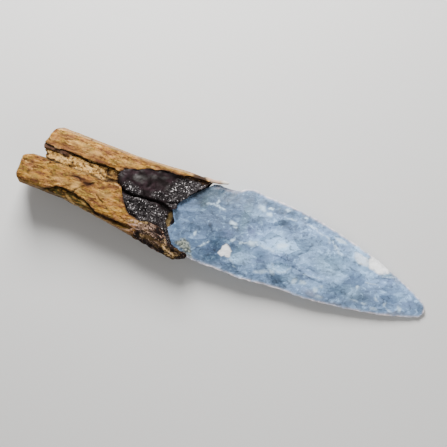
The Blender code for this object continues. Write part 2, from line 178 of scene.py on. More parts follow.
def slab(name, front, back, wallRows=1):
    # closed skin between two grids of points: the front, the back, and rows of walls between rims
    rows, columns = front.shape[:2]
    index = np.arange(rows * columns).reshape(rows, columns)
    rim = np.concatenate([index[0, :-1], index[:-1, -1], index[-1, :0:-1], index[:0:-1, 0]])
    near, far = front.reshape(-1, 3), back.reshape(-1, 3)
    walls = near[rim] + (far[rim] - near[rim]) * np.arange(1, wallRows)[:, None, None] / wallRows
    points = np.concatenate([near, far, walls.reshape(-1, 3)]) / 1000
    within = 2 * index.size + np.arange(walls.size // 3).reshape(-1, len(rim))
    rings = [rim, *within, rim + index.size]
    corners = index[:-1, :-1], index[1:, :-1], index[1:, 1:], index[:-1, 1:]
    faces = [np.stack(corners, -1).reshape(-1, 4)]
    faces.append(faces[0][:, [0, 3, 2, 1]] + index.size)
    for one, two in zip(rings, rings[1:]):
        faces.append(np.stack([one, np.roll(one, -1), np.roll(two, -1), two], -1))
    mesh = bpy.data.meshes.new(name)
    mesh.from_pydata(points, [], np.concatenate(faces))
    work = bmesh.new()
    work.from_mesh(mesh)
    bmesh.ops.remove_doubles(work, verts=work.verts, dist=mergeDistance)
    bmesh.ops.dissolve_degenerate(work, dist=mergeDistance, edges=work.edges)
    bmesh.ops.recalc_face_normals(work, faces=work.faces)
    if work.calc_volume(signed=True) < 0:
        bmesh.ops.reverse_faces(work, faces=work.faces)
    work.to_mesh(mesh)
    work.free()
    made = bpy.data.objects.new(name, mesh)
    bpy.context.scene.collection.objects.link(made)
    return made


def cut(piece, tool, operation="DIFFERENCE"):
    # one Boolean, applied at once; the tool is then removed
    step = piece.modifiers.new(operation, "BOOLEAN")
    step.operation = operation
    step.object = tool
    step.solver = "EXACT"
    graph = bpy.context.evaluated_depsgraph_get()
    made = bpy.data.meshes.new_from_object(piece.evaluated_get(graph))
    piece.modifiers.clear()
    old = piece.data
    piece.data = made
    bpy.data.meshes.remove(old)
    bpy.data.objects.remove(tool)


def readPoints(mesh, what="co"):
    values = np.empty(len(mesh.vertices) * 3)
    mesh.vertices.foreach_get(what, values)
    return values.reshape(-1, 3)


def finishPiece(piece, replaces, material, relief, marks):
    # relief moves each point along its normal; marks are per-point values that the material reads
    mesh = piece.data
    points = readPoints(mesh) * 1000
    normals = readPoints(mesh, "normal")
    for name, values in marks(points, normals).items():
        layer = mesh.attributes.new(name, "FLOAT", "POINT")
        layer.data.foreach_set("value", np.clip(values, 0, 1))
    placed = toWorld(points + normals * relief(points, normals)[:, None])
    placed[:, 2] = np.maximum(placed[:, 2], 0)  # worn flat where it rests
    mesh.vertices.foreach_set("co", placed.ravel())
    mesh.shade_smooth()
    mesh.set_sharp_from_angle(angle=sharpAngle)
    mesh.materials.clear()
    mesh.materials.append(material)
    mesh.update()
    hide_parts(replaces)
    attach(piece, "root")
    mesh.calc_loop_triangles()
    print(piece.name, "has", len(mesh.loop_triangles), "triangles")


# Node helpers for the materials. This keeps the node tree, tones and frames of the one being made.
making = {}


def fill(made, values):
    # a socket gets either another node's output or a plain value
    for name, value in values.items():
        if isinstance(value, bpy.types.NodeSocket):
            making["tree"].links.new(value, made.inputs[name])
        else:
            made.inputs[name].default_value = value


def newMaterial(name, tones, look):
    # look gives the colour, roughness, specular level and normal
    made = bpy.data.materials.new(name)
    made.use_nodes = True
    making.update(tree=made.node_tree, tones=tones, frames={})
    sockets = ("Base Color", "Roughness", "Specular IOR Level", "Normal")
    fill(made.node_tree.nodes["Principled BSDF"], dict(zip(sockets, look())))
    return made


def node(kind, output, values={}, **settings):
    made = making["tree"].nodes.new("ShaderNode" + kind)
    for name, value in settings.items():
        setattr(made, name, value)
    fill(made, values)
    return made.outputs[output]


def ownFrame(stretch=1, slant=0):
    # Object coordinates brought to the dagger's own frame in millimetres, turned back by the slant
    # in degrees, with x divided by the stretch; each pair is made once for a material
    frames = making["frames"]
    if (stretch, slant) not in frames:
        own = {"Vector": node("TexCoord", "Object"), "Location": Vector(lie["place"]) / 1000}
        own.update({"Rotation": (0, lie["turn"], 0), "Scale": (0.001, 0.001, 0.001)})
        place = node("Mapping", 0, own, vector_type="TEXTURE")
        own = {"Vector": place, "Rotation": (0, 0, math.radians(slant)), "Scale": (stretch, 1, 1)}
        frames[stretch, slant] = node("Mapping", 0, own, vector_type="TEXTURE")
    return frames[stretch, slant]


def mottle(size, detail=3, bend=0, roughness=0.5, at=None):
    # cloudy noise
    at = ownFrame() if at is None else at
    look = {"Detail": detail, "Distortion": bend, "Roughness": roughness}
    return node("TexNoise", "Fac", {"Vector": at, "Scale": 1 / size, **look})


def warp(at, size, reach):
    # the place moved about by a noise of this size, by up to half the reach each way
    moved = node("TexNoise", "Color", {"Vector": at, "Scale": 1 / size})
    return node("VectorMath", 0, {0: moved, 1: (reach, reach, reach), 2: at}, operation="MULTIPLY_ADD")


def cells(at, size, output="Color"):
    # a random value for each cell of an irregular net, or the distance from the cell's middle
    return node("TexVoronoi", output, {"Vector": at, "Scale": 1 / size})


def dots(at, size, radius):
    # round grains of uneven brightness, one in each cell
    disc = spread(cells(at, size, "Distance"), radius + 0.08, radius - 0.08)
    return times(disc, spread(cells(at, size), 0.25, 0.75))


def spread(value, low, high, most=1, least=0):
    # least at low, most at high, with an ease between them
    ends = {"From Min": low, "From Max": high, "To Min": least, "To Max": most}
    return node("MapRange", "Result", {"Value": value, **ends}, interpolation_type="SMOOTHSTEP")


def times(a, b):
    return node("Math", 0, {0: a, 1: b}, operation="MULTIPLY")


def plus(a, b):
    return node("Math", 0, {0: a, 1: b}, operation="ADD")


def mark(name, share=1):
    made = node("Attribute", "Fac", attribute_name=name)
    return made if share == 1 else times(made, share)


def blend(amount, first, second, kind="MIX"):
    # a colour is another node's output or the name of a tone
    tones = [(*making["tones"][tone], 1) if isinstance(tone, str) else tone for tone in (first, second)]
    values = {"Factor": amount, 6: tones[0], 7: tones[1]}
    return node("Mix", 2, values, data_type="RGBA", blend_type=kind)


def tinted(color, amount, low, high):
    # the colour multiplied by a tone between low and high
    return blend(1, color, blend(amount, low, high), "MULTIPLY")


def layers(color, rows):
    # laid over the colour in turn: a mark and its share, or a pattern, the values between which it
    # sets in, and its share; last the layer's own colour
    for *how, tone in rows:
        amount = mark(*how) if isinstance(how[0], str) else spread(*how)
        color = blend(amount, color, tone)
    return color


def bump(height, distance, values={}):
    return node("Bump", "Normal", {"Distance": distance / 1000, "Height": height, **values})


# The flint blade.
blade = dict(
    baseX=73.5, length=126.5, width=41, thick=9.2, edge=0.6, power=2.4, least=0.16,
    pointRound=2.2, baseFade=32.89, scarDepth=1.7, pointArc=math.radians(80), inset=0.18,
    chipDepth=0.22, chipLength=2.2, rowsAlong=400, rowsAcross=118,
    upper=(
        (0, 0.405), (0.1, 0.42), (0.135, 0.44), (0.19, 0.452), (0.208, 0.466), (0.23, 0.512),
        (0.312, 0.517), (0.469, 0.492), (0.588, 0.43), (0.703, 0.346), (0.817, 0.241), (0.91, 0.129),
        (0.96, 0.056), (1, -0.012),
    ),
    lower=(
        (0, 0.422), (0.043, 0.437), (0.11, 0.468), (0.243, 0.471), (0.312, 0.476), (0.381, 0.454),
        (0.45, 0.434), (0.588, 0.42), (0.68, 0.385), (0.771, 0.341), (0.863, 0.28), (0.946, 0.205),
        (1, 0.139),
    ),
    base=(
        (-1, 0.134), (-0.85, 0.037), (-0.62, 0.002), (-0.48, 0.027), (-0.32, 0.071), (-0.12, 0.022),
        (0.08, 0), (0.27, 0.039), (0.5, 0.122), (0.75, 0.224), (1, 0.341),
    ),
    thickness=(
        (0, 0.34), (0.05, 0.62), (0.12, 0.8), (0.25, 0.97), (0.38, 1), (0.55, 0.92), (0.72, 0.74),
        (0.86, 0.52), (0.95, 0.32), (1, 0.12),
    ),
    scars=(  # on the front: middle x and y, length, width, depth, turn
        (88, 6, 30, 19, 0.28, 60), (94, -9, 20, 19, 0.3, -40), (104, 8, 22, 24, 0.24, 75),
        (117, -10, 19, 19, 0.42, 20), (129.8, -8.2, 10, 5.6, 0.45, 12), (124, 6, 26, 17, 0.2, 40),
        (141, 3, 30, 19, 0.3, -12), (152.5, 12.6, 12, 5.8, 0.42, -8), (160, 6, 18, 9, 0.3, -25),
        (172.5, 9.2, 14, 8, 0.38, -22), (163, -3, 24, 13, 0.22, 15), (186, -1, 20, 12, 0.25, -14),
        (179, 5, 12, 5, 0.25, 15), (143, -11, 14, 9, 0.32, -10), (158, -10.5, 12, 7.5, 0.3, 8),
        (170, -9.5, 12, 7, 0.3, 12), (182, -8, 11, 5.5, 0.26, 22), (131, -14.5, 13, 6.5, 0.34, -5),
        (99, -15.5, 15, 7, 0.3, 4), (109, -16, 9, 5, 0.26, 10), (107, 17, 13, 8, 0.36, 2),
        (119, 17.2, 11, 7.5, 0.36, -3), (129, 16.8, 11, 7, 0.36, -4), (139, 16, 11, 6.2, 0.36, -8),
        (94, 14.5, 12, 8, 0.3, 20), (162, 12.5, 9, 5, 0.26, -20),
    ),
    # rows of scars along both edges: seed, spacing, length, width, depth
    pressed=((21, 2.3, 3.8, 2.4, 0.22),),
    below=((22, 8.5, 24, 12, 0.42), (23, 2.8, 5.5, 3.1, 0.42)),
)
blade["pointX"] = blade["baseX"] + blade["length"]


def bladeEdges(x, grow=0):
    # lower and upper edge: the width's share curves, closed at the point by a quarter circle
    share = (x - blade["baseX"]) / blade["length"]
    upper = blade["width"] * smooth(blade["upper"], share)
    lower = -blade["width"] * smooth(blade["lower"], share)
    arc = blade["pointRound"]
    into = ramp(blade["pointX"] - arc, blade["pointX"] + grow, x)
    half = ((upper - lower) / 2 + grow) * np.sqrt(1 - into**2)
    return (upper + lower) / 2 - half, (upper + lower) / 2 + half


def bladeHalf(x, s):
    # half thickness: full in the middle, falling with the power of the share across to the edge
    full = blade["thick"] / 2 * smooth(blade["thickness"], (x - blade["baseX"]) / blade["length"])
    edge = blade["edge"] / 2
    return edge + np.maximum(full - edge, 0) * (1 - np.abs(s) ** blade["power"])


def scoops(x, y, scars, deep=1):
    # flake scars: each a shallow oval bowl, depth times one minus the squared distance; where two
    # meet the deeper one counts, which leaves a ridge between them
    total = np.zeros_like(x)
    for scar in scars:
        total = np.maximum(total, deep * scar[4] * np.clip(1 - oval(x, y, scar), 0, None))
    return total


def edgeScars(rows):
    # small scars along both edges, from seeded random spacings, sizes and turns
    made = []
    for seed, spacing, length, width, depth in rows:
        draw = np.random.default_rng(seed).uniform
        for side in (-1, 1):
            x = blade["baseX"] + 8
            while x < blade["pointX"] - 1:
                edge = bladeEdges(np.array([x - 1, x + 1]))[side > 0]
                tilt = math.degrees(math.atan2(edge[1] - edge[0], 2))
                reach = length * draw(0.6, 1.25)
                y = edge.mean() - side * reach * 0.32
                turn = tilt + 90 + draw(-40, 40)
                wide = width * draw(0.8, 1.3)
                made.append((x, y, reach, wide, depth * draw(0.5, 1), turn))
                x += spacing * draw(0.6, 1.4)
    return made


def bladeGrids(grow=0, rowsAlong=46, rowsAcross=17, flaked=False):
    # front and back in rows across; near the base they are moved along x, so that the first
    # follows the base's curve
    angle = np.linspace(0, blade["pointArc"], 3 + rowsAlong // 16)[1:]
    rounding = blade["pointX"] - blade["pointRound"] + (blade["pointRound"] + grow) * np.sin(angle)
    body = np.linspace(0, 1, rowsAlong - len(rounding)) ** 1.15  # closer at the base
    body = blade["baseX"] + body * (blade["length"] - blade["pointRound"])
    station = np.concatenate([body, rounding])
    s = gathered(rowsAcross, 0.5)
    fade = ramp(blade["baseFade"], 0, station - blade["baseX"]) ** 2
    x = station[:, None] + fade[:, None] * (blade["width"] * smooth(blade["base"], s)[None] - grow)
    lower, upper = bladeEdges(x, grow)
    if flaked:
        lower = lower + blade["inset"] + blade["chipDepth"] * ragged(x, blade["chipLength"], 11)
        upper = upper - blade["inset"] - blade["chipDepth"] * ragged(x, blade["chipLength"], 12)
    y = lower + (upper - lower) * (s + 1) / 2
    front = back = bladeHalf(x, s)
    if flaked:
        front = front - scoops(x, y, blade["scars"], blade["scarDepth"])
        front = front - scoops(x, y, edgeScars(blade["pressed"]))
        back = back - scoops(x, y, edgeScars(blade["below"]))
        front, back = np.maximum((front, back), blade["least"])
    return twoSides(x, y, front + grow, -back - grow)


flint = dict(
    body=(0.107, 0.153, 0.24), light=(0.195, 0.312, 0.52), cool=(0.06, 0.073, 0.094),
    green=(0.155, 0.255, 0.31), pale=(0.42, 0.67, 0.97), chalk=(0.95, 0.95, 0.94),
    speck=(0.64, 0.83, 1), dim=(0.265, 0.25, 0.23), bright=(1.75, 1.77, 1.79),
    brown=(0.24, 0.18, 0.18), rim=(0.84, 0.74, 0.74), crust=(0.4, 0.42, 0.33),
    olive=(0.09, 0.092, 0.055), line=(0.016, 0.024, 0.042), teal=(0.04, 0.095, 0.16),
    violet=(0.12, 0.15, 0.3), facetDim=(0.58, 0.6, 0.62), facetBright=(1.46, 1.44, 1.42),
    specular=0.18, ripplePitch=1.7, relief=(("all", 0.07, 3, 91), ("all", 0.02, 0.9, 95)),
    # Ovals are x, y, length, width, strength and turn; lines are width, strength and points. These
    # of the lists become marks, the ovals with their softness.
    soft=dict(specks=0.85, clouds=0.8, dirt=0.4, tint=0.9, greens=0.8, teals=0.8, violets=0.8),
    lines=("veins", "cracks"),
    chips=(  # white inclusions
        (103.1, -9, 3.6, 4.8, 1, -8), (104.9, -10, 2.6, 3.6, 1), (104.7, -11.4, 2.6, 2.4, 1),
        (102.2, -11.2, 4, 2.4, 1, 4),
    ),
    patch=(  # the bright white patch on the upper edge
        (172.2, 9.4, 9.5, 6, 1, -22), (169.6, 9.8, 5, 6.4, 1), (175.8, 9.2, 5, 2.6, 0.9, -25),
        (164, 9.2, 8, 4.4, 0.45, -15), (152, 14, 5.5, 1.8, 0.3, -5), (127, 2, 5, 2.4, 0.3, 25),
    ),
    specks=(
        (102, 3.7, 2.9, 1.3, 0.95, 12), (103.7, 2.2, 1.7, 0.9, 0.7, 12), (104.5, -3.8, 1.9, 1.3, 0.75, 15),
        (87.1, -7.3, 1.4, 2.2, 0.9), (112.3, 15, 2.8, 2.2, 0.6, -30), (115.9, 16.4, 2.3, 0.8, 0.85, 25),
        (116.3, 13.4, 2, 1.4, 0.85, -10), (113.6, -2.3, 2.8, 1.8, 0.75, 25),
        (126.5, -10.9, 3, 1.3, 0.8, -25), (122.6, -12.6, 2.9, 1.7, 0.5, 15), (138.1, -11.4, 1.8, 2.3, 0.9),
        (142.2, -10.8, 2.8, 1.5, 0.9, 5), (148.7, -11.5, 2.4, 2, 0.9), (150.5, -9.3, 1.7, 1.3, 0.6),
        (151.5, -14.3, 2.8, 1.5, 0.6, 10), (166.7, -3.6, 1.4, 1.1, 0.8, 35),
        (176.6, -5.6, 1.7, 1.1, 0.6, -30), (181.4, -6.5, 1.1, 1.6, 0.8), (188.6, -6, 1.7, 2.3, 0.85, 15),
        (184.2, -8.3, 3.2, 0.9, 0.5, -15), (172.2, -9.8, 1.8, 0.9, 0.7, 10), (177.4, -10.3, 3.2, 1.1, 0.6),
        (84.8, -13, 1.8, 1, 0.8, 20), (120, -13.6, 2.4, 1.2, 0.5, 15), (167.3, -10, 3.4, 0.8, 0.5, 8),
        (133, 18, 1.7, 1.1, 0.85), (124, 18.5, 2.6, 0.9, 0.55, 8), (136.4, 15.3, 3.2, 0.9, 0.75, -5),
        (127, 14.9, 4.5, 0.8, 0.45, 4),
    ),
    veins=(  # thin pale lines
        (0.55, 0.75, 92.2, 11.2, 92.1, 9.4, 92.8, 8.3, 94.6, 8, 96.6, 8.2),
        (0.35, 0.6, 88, 7.7, 89.2, 8.6, 90.6, 8.9, 91.6, 8.7),
        (0.45, 0.7, 91.4, -11.9, 92.4, -10.3, 93.6, -9, 94.6, -8.1),
        (0.45, 0.6, 108.4, -3.8, 110.2, -3.2, 111.8, -2.4), (0.8, 0.8, 112.8, -2.3, 114.4, -1.6, 116.4, -1),
        (0.6, 0.55, 116.4, -1, 118.6, -1.3, 121, -1.2, 124, -1.6),
        (0.35, 0.5, 124.2, -12, 126.2, -12.4, 128.4, -12), (0.3, 0.45, 176, 5, 179.4, 6.2, 182.2, 7.6),
        (0.5, 0.45, 138.6, 15, 141.5, 13.9, 146.2, 12.9, 147.4, 10.8),
        (0.5, 0.55, 148.5, 12, 151, 10.1, 152.8, 8.4, 154.6, 7.6),
        (0.35, 0.6, 169, 0.2, 172, 0.2, 175, 0.9), (0.4, 0.5, 106.5, -12.8, 109, -14.2, 110.5, -15.4),
        (0.3, 0.55, 125.6, -7.4, 126.6, -9.3, 129, -10, 131.6, -9.2, 133.8, -7, 134.4, -6.2),
        (0.3, 0.45, 141, -6.9, 144, -6.4, 147, -6, 150, -5.6),
    ),
    clouds=(  # large pale clouds
        (127, 2.2, 9, 5, 0.85, 25), (122.5, 4.6, 9, 5, 0.5, 30), (121.5, -0.6, 7, 3, 0.55, 10),
        (129.5, -8.2, 9, 4.2, 0.8, 12), (151.5, 13.9, 8, 2.6, 0.7, -8), (163.5, 9.4, 10, 5, 0.85, -15),
        (161, 13.6, 6, 2.6, 0.75, -20), (167, 4, 10, 4, 0.5, -10), (117, -0.6, 7, 2.6, 0.5, 8),
        (112.5, 12, 9, 5, 0.3), (156, 5, 12, 7, 0.4), (156.5, -1.6, 8, 5, 0.4, 70),
        (139, 6.5, 16, 7, 0.25, 20), (112, -9, 9, 7, 0.4), (150, 0, 12, 8, 0.35), (135.5, -10.6, 9, 5, 0.5),
        (148, -10, 12, 4, 0.35), (163.5, 8, 9, 4, 0.8, -15), (133, 3, 11, 8, 0.4, 15), (165, -7, 6, 5, 0.4),
        (139, -1, 6, 5, 0.35), (187, -1, 6, 4, 0.4, 15),
    ),
    darkZonesAndShade=(  # darker bluish zones, and painted shade beside the tar's edge and in the notch of the base
        (88, 4, 38, 40, 0.48), (91, 12, 26, 11, 0.62, 15), (84, 10, 10, 12, 0.8, 45),
        (89, 14.6, 12, 6, 0.96, 28), (98, -4, 22, 16, 0.45), (105, 16.6, 14, 6, 0.42),
        (98, -9.5, 5, 8, 0.6, -25), (94.5, -14, 12, 7, 0.5, 20), (80, 0, 10, 9, 0.52),
        (84, -4, 10, 8, 0.58), (112.4, 8.6, 7, 4, 0.42, 10), (104, 1, 11, 6, 0.52),
        (116, 17.8, 13, 4, 0.45), (125, 17.4, 12, 3.4, 0.4), (160, -12.4, 11, 2.6, 0.4, 5),
        (96.4, 15.4, 6, 3, 0.72, 20), (101.5, -4.6, 8, 3, 0.6, 10), (123.8, 12, 5, 3, 0.55, 35),
        (114.2, 18.2, 6, 3, 0.6, 10), (102.5, -2, 8, 5, 0.5), (111, 3.5, 7, 5, 0.4), (108.6, 3, 4, 9, 0.35),
        (128.5, -14.6, 10, 3, 0.6, -15), (113, -17, 8, 2, 0.6, -5), (170, -7.5, 18, 11, 0.34),
        (134, 17.4, 30, 3.4, 0.3, -4), (168, -12, 12, 2, 0.45, 8), (106.5, -2.4, 4, 5, 0.5, 20),
        (121, -10, 7, 13, 0.55, 10), (118, -15.6, 9, 5, 0.5), (143, 16.6, 16, 2.6, 0.45, -6),
        (179, 8.2, 6, 2.6, 0.55, -25), (171, -12, 7, 2.4, 0.5, 8), (91.5, -10, 6, 9, 0.35),
        (76.4, -2, 3.4, 6, 0.95), (107, 3.6, 7, 4, 0.4),
    ),
    greens=(  # tints of greyish green, then of blue and violet
        (86.4, 8.6, 3.4, 8, 0.8), (106.5, 8, 4, 12, 0.7, 5), (108.5, -6, 3, 4, 0.6),
        (108.5, -11, 9, 5, 0.5), (88, 13.6, 9, 4, 0.5, 30), (178, 6.8, 6, 2.6, 0.7, 25),
        (151, 2, 14, 9, 0.6), (128, 1.6, 7, 4, 0.5, 20), (162, -7, 16, 6, 0.4),
    ),
    teals=(
        (97.6, -8.4, 5, 6, 0.8, -20), (98, -14.6, 7, 4, 0.8, 15), (102, -5.4, 6, 2, 0.7),
        (77.6, -7, 4, 6, 0.5), (118, -6.4, 6, 3.4, 0.5, 20),
    ),
    violets=(
        (111.4, 3.4, 5, 4, 0.8), (101.4, -1.6, 5, 4, 0.6), (96.5, -11.4, 6, 5, 0.5),
        (119, -8.6, 4, 3, 0.6, 20), (131, -2.2, 9, 2, 0.6, 8), (143.8, -8.8, 6, 3, 0.6),
        (180.5, 4.6, 6, 2.6, 0.7, -10), (189, -2.2, 9, 4, 0.5),
    ),
    cracks=(  # thin dark lines
        (0.5, 0.8, 85.1, -7.3, 85.4, -7.4), (0.3, 0.75, 123.6, -3.3, 127, -3.3, 131.4, -3.6),
        (0.35, 0.8, 135, -5.5, 138, -5.9, 141, -6.6, 144, -7.6, 150, -7.4),
        (0.3, 0.55, 170, 2.4, 173, 3.6, 177, 4.6, 180, 5.6),
        (0.28, 0.6, 110.2, -15.6, 111.6, -17, 114, -17.6, 116.5, -17.8),
        (0.3, 0.6, 125, -13.4, 128, -14.4, 130, -16.2), (0.3, 0.65, 127.6, -12.8, 130.6, -14.6, 133, -16),
        (0.3, 0.6, 130.6, -13, 133.6, -14.6, 135.6, -15.4),
        (0.35, 0.6, 121.4, 11, 122.8, 10.8, 124.4, 11.4),
        (0.45, 0.5, 112.6, 18.8, 114.6, 18.6, 116.4, 19.2),
        (0.35, 0.5, 106.4, -13.6, 108.2, -14.8, 110, -15.6),
    ),
    # yellowish crust on the lower corner of the base
    dirt=((83.6, -13.6, 6.4, 4, 0.9), (86, -15.2, 5.4, 4.4, 0.9, -45), (88.2, -18, 3.5, 1.8, 0.7)),
    tint=(  # brownish tint near the edges
        (148, -14, 8, 3, 0.8), (187, -8.9, 8, 1.8, 0.9, 22), (182, 6.2, 6, 1.2, 0.4, -24),
        (95.4, 17.4, 7, 1.3, 1, 5), (90.6, 17, 5, 1.2, 0.7, 12), (160, -14.6, 8, 1.4, 0.6, 5),
        (99.4, 18.6, 3, 1, 0.7, 40),
    ),
    # faint ripples in a large scar
    ripples=((141, 5, 26, 12, 1, -12),),
    # limits of the random specks behind: x, y, length, width, turn, strength
    behind=((85, 192), (-14, 14), (0.8, 2.4), (0.5, 1.1), (0, 180), (0.3, 0.8)),
)


def flintMarks(points, normals):
    x, y = wander(points, 0.55, 1.6, 31)
    front = ease(-0.2, 0.2, points[:, 2])
    lower, upper = bladeEdges(points[:, 0])
    across = (2 * points[:, 1] - lower - upper) / np.maximum(upper - lower, 0.1)
    # painted light and shade: the lower slope is lightened and the upper slope darkened, against how the key
    # light falls on them; then the darker zones, which are partly painted shade, are taken off
    toneWithPaintedShade = 0.12 * ease(0.1, 0.8, -across) * ease(98, 106, x)
    toneWithPaintedShade = toneWithPaintedShade - 0.15 * ease(-0.1, 0.8, across) * ease(150, 126, x)
    toneWithPaintedShade = toneWithPaintedShade - 0.5 * spots(x, y, flint["darkZonesAndShade"], 0.8)
    toEdge = np.minimum(upper - points[:, 1], points[:, 1] - lower)
    toEdge = np.minimum(toEdge, (blade["pointX"] - points[:, 0]) * 1.2)
    chips = 1 - ease(0.75, 1.1, np.sqrt(np.min([oval(x, y, p) for p in flint["chips"]], axis=0)))
    low, high = np.transpose(flint["behind"])
    behind = np.random.default_rng(41).uniform(low, high, (22, 6))[:, [0, 1, 2, 3, 5, 4]]
    # painted highlight along both edges, standing in for light through the thin flint: its strength, left
    # out on the upper edge near the base and fading on the back
    glowStrength = (0.8 + 0.55 * rough(points, 2.4, 51)) * (1 - 0.9 * (across > 0) * ease(101.5, 99.5, points[:, 0]))
    glowStrength = glowStrength * (1 - 0.6 * ease(0.1, -0.4, points[:, 2]) * ease(-0.3, 0.4, rough(points, 4, 53)))
    marks = drawnMarks(x, y, flint, front)
    marks["clouds"] = marks["clouds"] + (1 - front) * ease(0.1, 0.8, rough(points, 9, 61))
    marks["chalk"] = front * np.maximum(chips, spots(x, y, flint["patch"], 0.3))
    marks["chalk"] = np.maximum(marks["chalk"], spots(x, y, behind) * (1 - front))
    marks["tone"] = 0.5 + front * toneWithPaintedShade + (1 - front) * 0.3 * rough(points, 8, 71)
    marks["rim"] = glowStrength * np.exp(-((np.maximum(toEdge - 0.25, 0) / 0.55) ** 1.5))
    marks["nearEdge"] = np.exp(-np.maximum(toEdge, 0) / 3.5)
    return marks


def flintRelief(points, normals):
    # fine unevenness, faint ripples in the large scars, dirt that stands proud, cracks cut in
    x, y, z = points.T
    front = ease(-0.2, 0.2, z)
    wave = np.sin((x * 0.45 - y * 0.9) * 2 * math.pi / flint["ripplePitch"])
    ripple = wave * spots(x, y, flint["ripples"], 0.6)
    crumbs = rough(points, 0.9, 81) * spots(x, y, flint["dirt"], flint["soft"]["dirt"])
    height = heights(points, {}, flint["relief"]) + 0.02 * ripple * front
    ridge = 0.06 * strokes(x, y, flint["veins"])
    return height + front * (0.2 * crumbs + ridge - 0.12 * strokes(x, y, flint["cracks"]))


def flintLook():
    slanted = ownFrame(2.2, 24)
    streaks = mottle(1.7, 4, 0.5, 0.58, warp(slanted, 9, 3))
    flecks = mottle(2.2, 4, 0.8, 0.6)
    color = layers("body", (
        (mottle(14, 4, 0.4), 0.34, 0.66, 0.9, 0.3, "light"), ("greens", 0.8, "green"),
        ("teals", 0.75, "teal"), ("violets", 0.6, "violet"), ("clouds", "pale"),
        (streaks, 0.52, 0.68, 0.4, "cool"), (streaks, 0.46, 0.3, 0.35, "pale"),
        (flecks, 0.53, 0.68, 0.6, "cool"), (flecks, 0.45, 0.3, 0.6, "pale"),
    ))
    facets = cells(warp(slanted, 3, 2.5), 3.8)
    color = tinted(color, facets, "facetDim", "facetBright")
    # the tone holds painted light and shade on the slopes, besides the flint's darker zones
    color = tinted(color, mark("tone"), "dim", "bright")
    broken = spread(mottle(1), 0.36, 0.58, 1, 0.2)
    crust = blend(spread(mottle(1, 4), 0.42, 0.6), "olive", "crust")
    color = layers(color, (
        ("tint", 0.6, "brown"), ("cracks", 0.8, "line"), ("specks", "speck"),
        ("veins", broken, "speck"), ("dirt", crust), ("nearEdge", 0.12, "pale"),
        # the rim colour is a painted highlight along the edges
        ("rim", "rim"), ("chalk", "chalk"),
    ))
    gloss = plus(spread(mottle(4, 4), 0.3, 0.7, 0.54, 0.36), mark("chalk", 0.2))
    fine = bump(plus(plus(flecks, mottle(0.6, 3, 0, 0.6)), streaks), 0.14)
    return color, gloss, flint["specular"], fine


front, back = bladeGrids(0, blade["rowsAlong"], blade["rowsAcross"], flaked=True)
piece = slab("flaked_blade", front, back, 2)
material = newMaterial("flint", flint, flintLook)
finishPiece(piece, "flint_blade", material, flintRelief, flintMarks)


# The wooden handle, split from a round stem.
stem = dict(
    length=86.9, upper=17, lower=14, upperWall=1.1, lowerWall=3, lipLap=1.4, mouthSlant=2.2,
    backWall=6.8, face=7.2, upperLift=0.6, mouthFace=5.6, setback=7.5, endSlant=3.8, endRound=3,
    buttBow=2.4, corner=3.2, upperCorner=2.6, backTaper=0.7, grooveLower=1, grooveUpper=7.4,
    grooveDepth=2.1, grooveSlant=2.6, breakDepth=1.7, breakLeast=0.7, widest=-1, step=0.35, fit=0.1,
    bladeFit=0.15, rowsAlong=290, splinterStart=81.3, splinterLength=12.6, splinterRise=2.6,
    splinterLevel=1.5, splinterRadius=1.15, splinterTaper=0.48,
    breakEdge=(
        (0, 1), (0.13, 0.99), (0.19, 0.84), (0.235, 0.69), (0.28, 0.66), (0.325, 0.69), (0.36, 0.76),
        (0.405, 0.82), (0.44, 0.94), (0.47, 1.05), (0.56, 1.09), (0.66, 1.06), (0.76, 1.28), (0.9, 1.45),
        (1, 1.3),
    ),
    cracks=(  # in the lower strip: width, strength, points
        (0.34, 0.65, 24.8, -2.9, 26.8, -2.3, 28.4, -2.4, 29.2, -3, 29.6, -3.6),
        (0.6, 0.6, 31.2, -3.8, 32.6, -3.9, 33.8, -3.3, 35.3, -2.4),
        (0.36, 0.8, 28.9, -7.6, 28.3, -8.2, 28.3, -8.8, 27.8, -9.4),
        (0.26, 0.9, 38.4, -6.8, 39.4, -7.2, 40.2, -8.1, 41.3, -8.5, 42.6, -9.3),
        (0.45, 0.7, 22.6, 3.3, 22.8, 2.6, 23.2, 1.8), (0.4, 0.7, 30.2, 6.3, 30.2, 5.5, 31, 4.8, 32.2, 4.5),
        (0.35, 0.6, 34.6, 4.4, 36, 3.6, 37.6, 2.8, 39, 1.9),
        (0.7, 0.9, 39.4, 6, 39.3, 5.2, 39.8, 4.2, 41.6, 3.9),
        (0.8, 0.8, 40, 2.2, 41.6, 1.6, 43.4, 1.8, 44.6, 2.6), (0.7, 0.9, 9.6, 2.9, 10.6, 2.7),
        (0.3, 0.5, 9, 5, 12, 4.9, 16, 5.1, 19, 4.8), (0.3, 0.6, 8, 7.3, 12, 7.1, 16, 7, 20, 7),
        (0.42, 0.9, 20, 7, 24, 6.9, 28, 6.7, 30, 6.2, 33, 6.7, 36, 7, 42, 7.3),
        (0.4, 0.8, 40, -14.7, 44, -15, 50, -15.2, 54, -15.9, 58, -16.1),
        (0.5, 0.9, 10.4, 1.3, 12, 0.9, 14.6, 0.7, 17.4, 1), (0.32, 0.6, 17.4, 1, 24, 0.9, 33, 1),
        (0.55, 0.9, 33, 1, 36, 0.9, 38, 0.4, 41, 0.8), (0.35, 0.6, 37, 7.6, 40, 8.3, 44, 8.9, 47.6, 9.5),
        (0.6, 0.9, 77, -15.6, 80, -16.2, 84, -16.4, 87.6, -17),
        (0.4, 0.8, 77.6, -18, 80.6, -18.6, 83, -18.2), (0.4, 0.8, 70, -17.4, 73, -18.6, 75, -20.6),
    ),
    # a low step across the lower strip, y and x: the butt's side stands a little higher
    stepLine=((-10, 28.2), (-7.4, 29), (-5.6, 30.6), (-4.2, 33), (-1.6, 35.6)),
)
stem["mouthUpper"] = blade["width"] * float(smooth(blade["upper"], 0.1)) + 0.3
